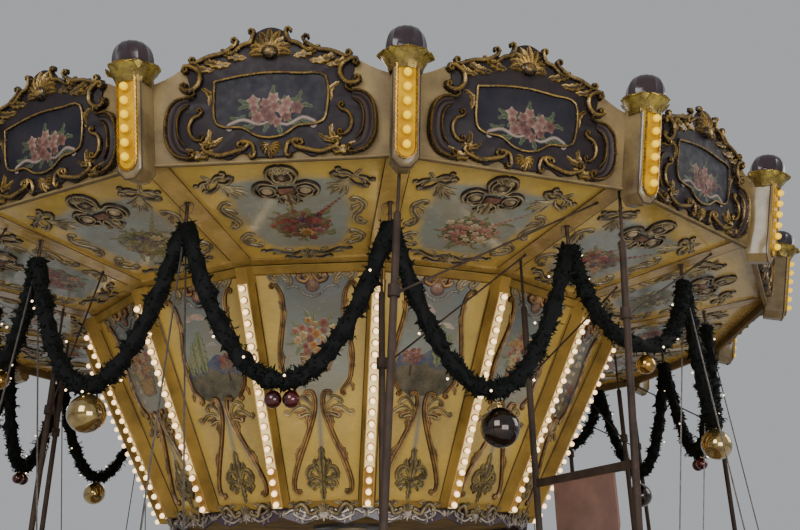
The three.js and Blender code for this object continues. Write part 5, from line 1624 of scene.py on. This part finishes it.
def fir_twigs(bay):
    """The branch tips of a swag. Each stands out of the core and leans along it, and carries needles that
    spread round its stem and point forward: three-sided spikes, with painted shade at the root and a painted
    highlight at the tip, that differ in length and green."""
    dice = np.random.default_rng(40 + bay)
    share = (np.arange(TWIGS) + dice.random(TWIGS)) / TWIGS
    root, out, along = about_swag(bay, share, ROOTS * fullness(bay, share), dice.random(TWIGS) * 2 * np.pi)
    lean = dice.choice((-1, 1), (TWIGS, 1)) * dice.uniform(0.2, 1.1, (TWIGS, 1))
    way = unit(out + along * lean + np.cross(out, along) * dice.normal(0, 0.35, (TWIGS, 1)))
    first = unit(np.cross(way, along))
    second = np.cross(way, first)
    many = (TWIGS, TWIG_NEEDLES, 1)
    length = dice.uniform(0.030, 0.072, (TWIGS, 1, 1))
    foot = root[:, None] + way[:, None] * length * dice.uniform(0.25, 1.0, many)
    spin = dice.random(many) * 2 * np.pi
    aside = first[:, None] * np.cos(spin) + second[:, None] * np.sin(spin)
    tip = foot + unit(way[:, None] * dice.uniform(0.5, 1.4, many) + aside) * dice.uniform(0.020, 0.034, many)
    first, second, foot = np.broadcast_arrays(first[:, None], second[:, None], foot)
    points, faces = spikes(foot, tip, np.full(many, 0.0046), first, second)
    green = blend(paint("070f09"), paint("15271a"), dice.random(TWIGS))
    light = np.array([0.4, 0.4, 0.4, 1.2])[:, None]
    shades = green[:, None, None] * light * np.ones((TWIGS, TWIG_NEEDLES, 1, 1))
    return points, faces, shades.reshape(-1, 3)


fir, tree, shader, place = finish("artificial_fir")
cloud = ramp(tree, noise(tree, place, 30.0, 4.0), [(0.3, 0.45), (0.7, 1.1)])
plug(shader, Base_Color=mix(tree, 1.0, tint_of(tree), cloud, "MULTIPLY"), Roughness=0.75,
     Specular_IOR_Level=0.25)
make("garland_core", gather(fir_core(bay) for bay in range(BAYS)), fir, ["garland"])
for quarter in range(4):
    bays = range(quarter * 4, quarter * 4 + 4)
    twigs = gather([fir_twigs(bay) for bay in bays] + [fir_tufts(bay) for bay in bays])
    make("garland_needles_%d" % quarter, twigs, fir, crease=180)

fairy_light = globe(0.010, 6, 5)
lights = []
for bay in range(BAYS):
    dice = np.random.default_rng(300 + bay)
    share = (np.arange(LIGHTS) + dice.uniform(0.2, 0.8, LIGHTS)) / LIGHTS
    spots = about_swag(bay, share, np.full(LIGHTS, LIGHTS_OUT), dice.random(LIGHTS) * 2 * np.pi)[0]
    lights += [moved(fairy_light, *spot) for spot in spots]
fairy_glass = lit_glass("fairy_light_glass", [(1.0, 0.85, 0.55), (1.0, 0.6, 0.25)], 3.0)
make("garland_lights", gather(lights), fairy_glass)

# Glass balls of the garland
# Blown glass, silvered inside and lacquered in smoked gold, bright gold, pale gold and dark red from bay to
# bay, each with a ribbed brass cap and a wire loop, hung in the foot of its swag.


def ball(size):
    """A blown ball: a sphere drawn up a little into its neck."""
    angle = np.linspace(0, np.pi, 16)
    profile = np.stack([size * np.sin(angle), -size * np.cos(angle) * (1 + 0.02 * (angle > 2.6))], -1)
    profile[[0, -1], 0] = 0
    return lathe(profile)


def ball_cap(size):
    """A ball's metal cap with its ribs, and the loop over it."""
    ribs = lathe([(0, size * 0.96), (size * 0.17, size * 0.965), (size * 0.17, size * 1.10),
                  (size * 0.13, size * 1.12), (0, size * 1.12)], 12)
    turn_by = np.linspace(0, 2 * np.pi, 17)
    loop = np.stack([size * 0.09 * np.cos(turn_by), size * (1.19 + 0.09 * np.sin(turn_by)), 0 * turn_by], -1)
    return gather([ribs, tube(loop, 0.003, 6, aside=(0.1, 0.2, 1.0))])


def hung(shape, bay, offset, drop):
    """A shape made about the v axis, hung upright at an offset from the foot of a bay's swag."""
    points, faces, colours = shape
    seat, along = swag_line(bay, np.array([0.5]))
    level = along[0] * (1, 1, 0) / np.linalg.norm(along[0, :2])
    return points[:, [0, 2, 1]] + seat[0] + level * offset - (0, 0, drop), faces, colours


def ball_glass(name, card, dark, metal, smooth):
    """Silvered glass: a mirror in its own colour with faint clouds in the silvering."""
    material, tree, shader, place = finish(name)
    cloud = ramp(tree, noise(tree, place, 9.0, 4.0), [(0.35, paint(dark)), (0.62, paint(card))])
    spots = drift(tree, place, smooth, smooth + 0.1, 40.0, 3.0)
    plug(shader, Base_Color=cloud, Metallic=metal, Roughness=spots, Coat_Weight=1.0, Coat_Roughness=0.03)
    return material


BALL_SINK = 0.067
BALLS = [("smoked_gold", "3c2c22", "1c1412", 0.85, [(0.060, 0.148, 0.062)]),
         ("bright_gold", "cc9c3c", "8a6420", 0.95, [(0.060, 0.082, 0.010)]),
         ("pale_gold", "c9ae6c", "8a7040", 0.9, [(0.0, 0.145, 0.0)]),
         ("dark_red", "5c1518", "300a0c", 0.6, [(-0.055, 0.064, 0.0), (0.075, 0.064, 0.0)])]
brass = enamel("lacquered_brass", (0.62, 0.44, 0.16), (0.36, 0.24, 0.09), (0.2, 0.12, 0.05), 0.2, 0.4,
               scale=20, metal=0.9)
caps = []
for kind, (name, card, dark, metal, sizes) in enumerate(BALLS):
    glass = ball_glass(name + "_ball", card, dark, metal, 0.06)
    for index, (offset, size, drop) in enumerate(sizes):
        hang = BALL_SINK + size + drop
        balls = gather(hung(ball(size), bay, offset, hang) for bay in range(kind, BAYS, 4))
        make("garland_balls_%s_%d" % (name, index), balls, glass)
        caps += [hung(ball_cap(size), bay, offset, hang) for bay in range(kind, BAYS, 4)]
make("garland_ball_caps", gather(caps), brass)
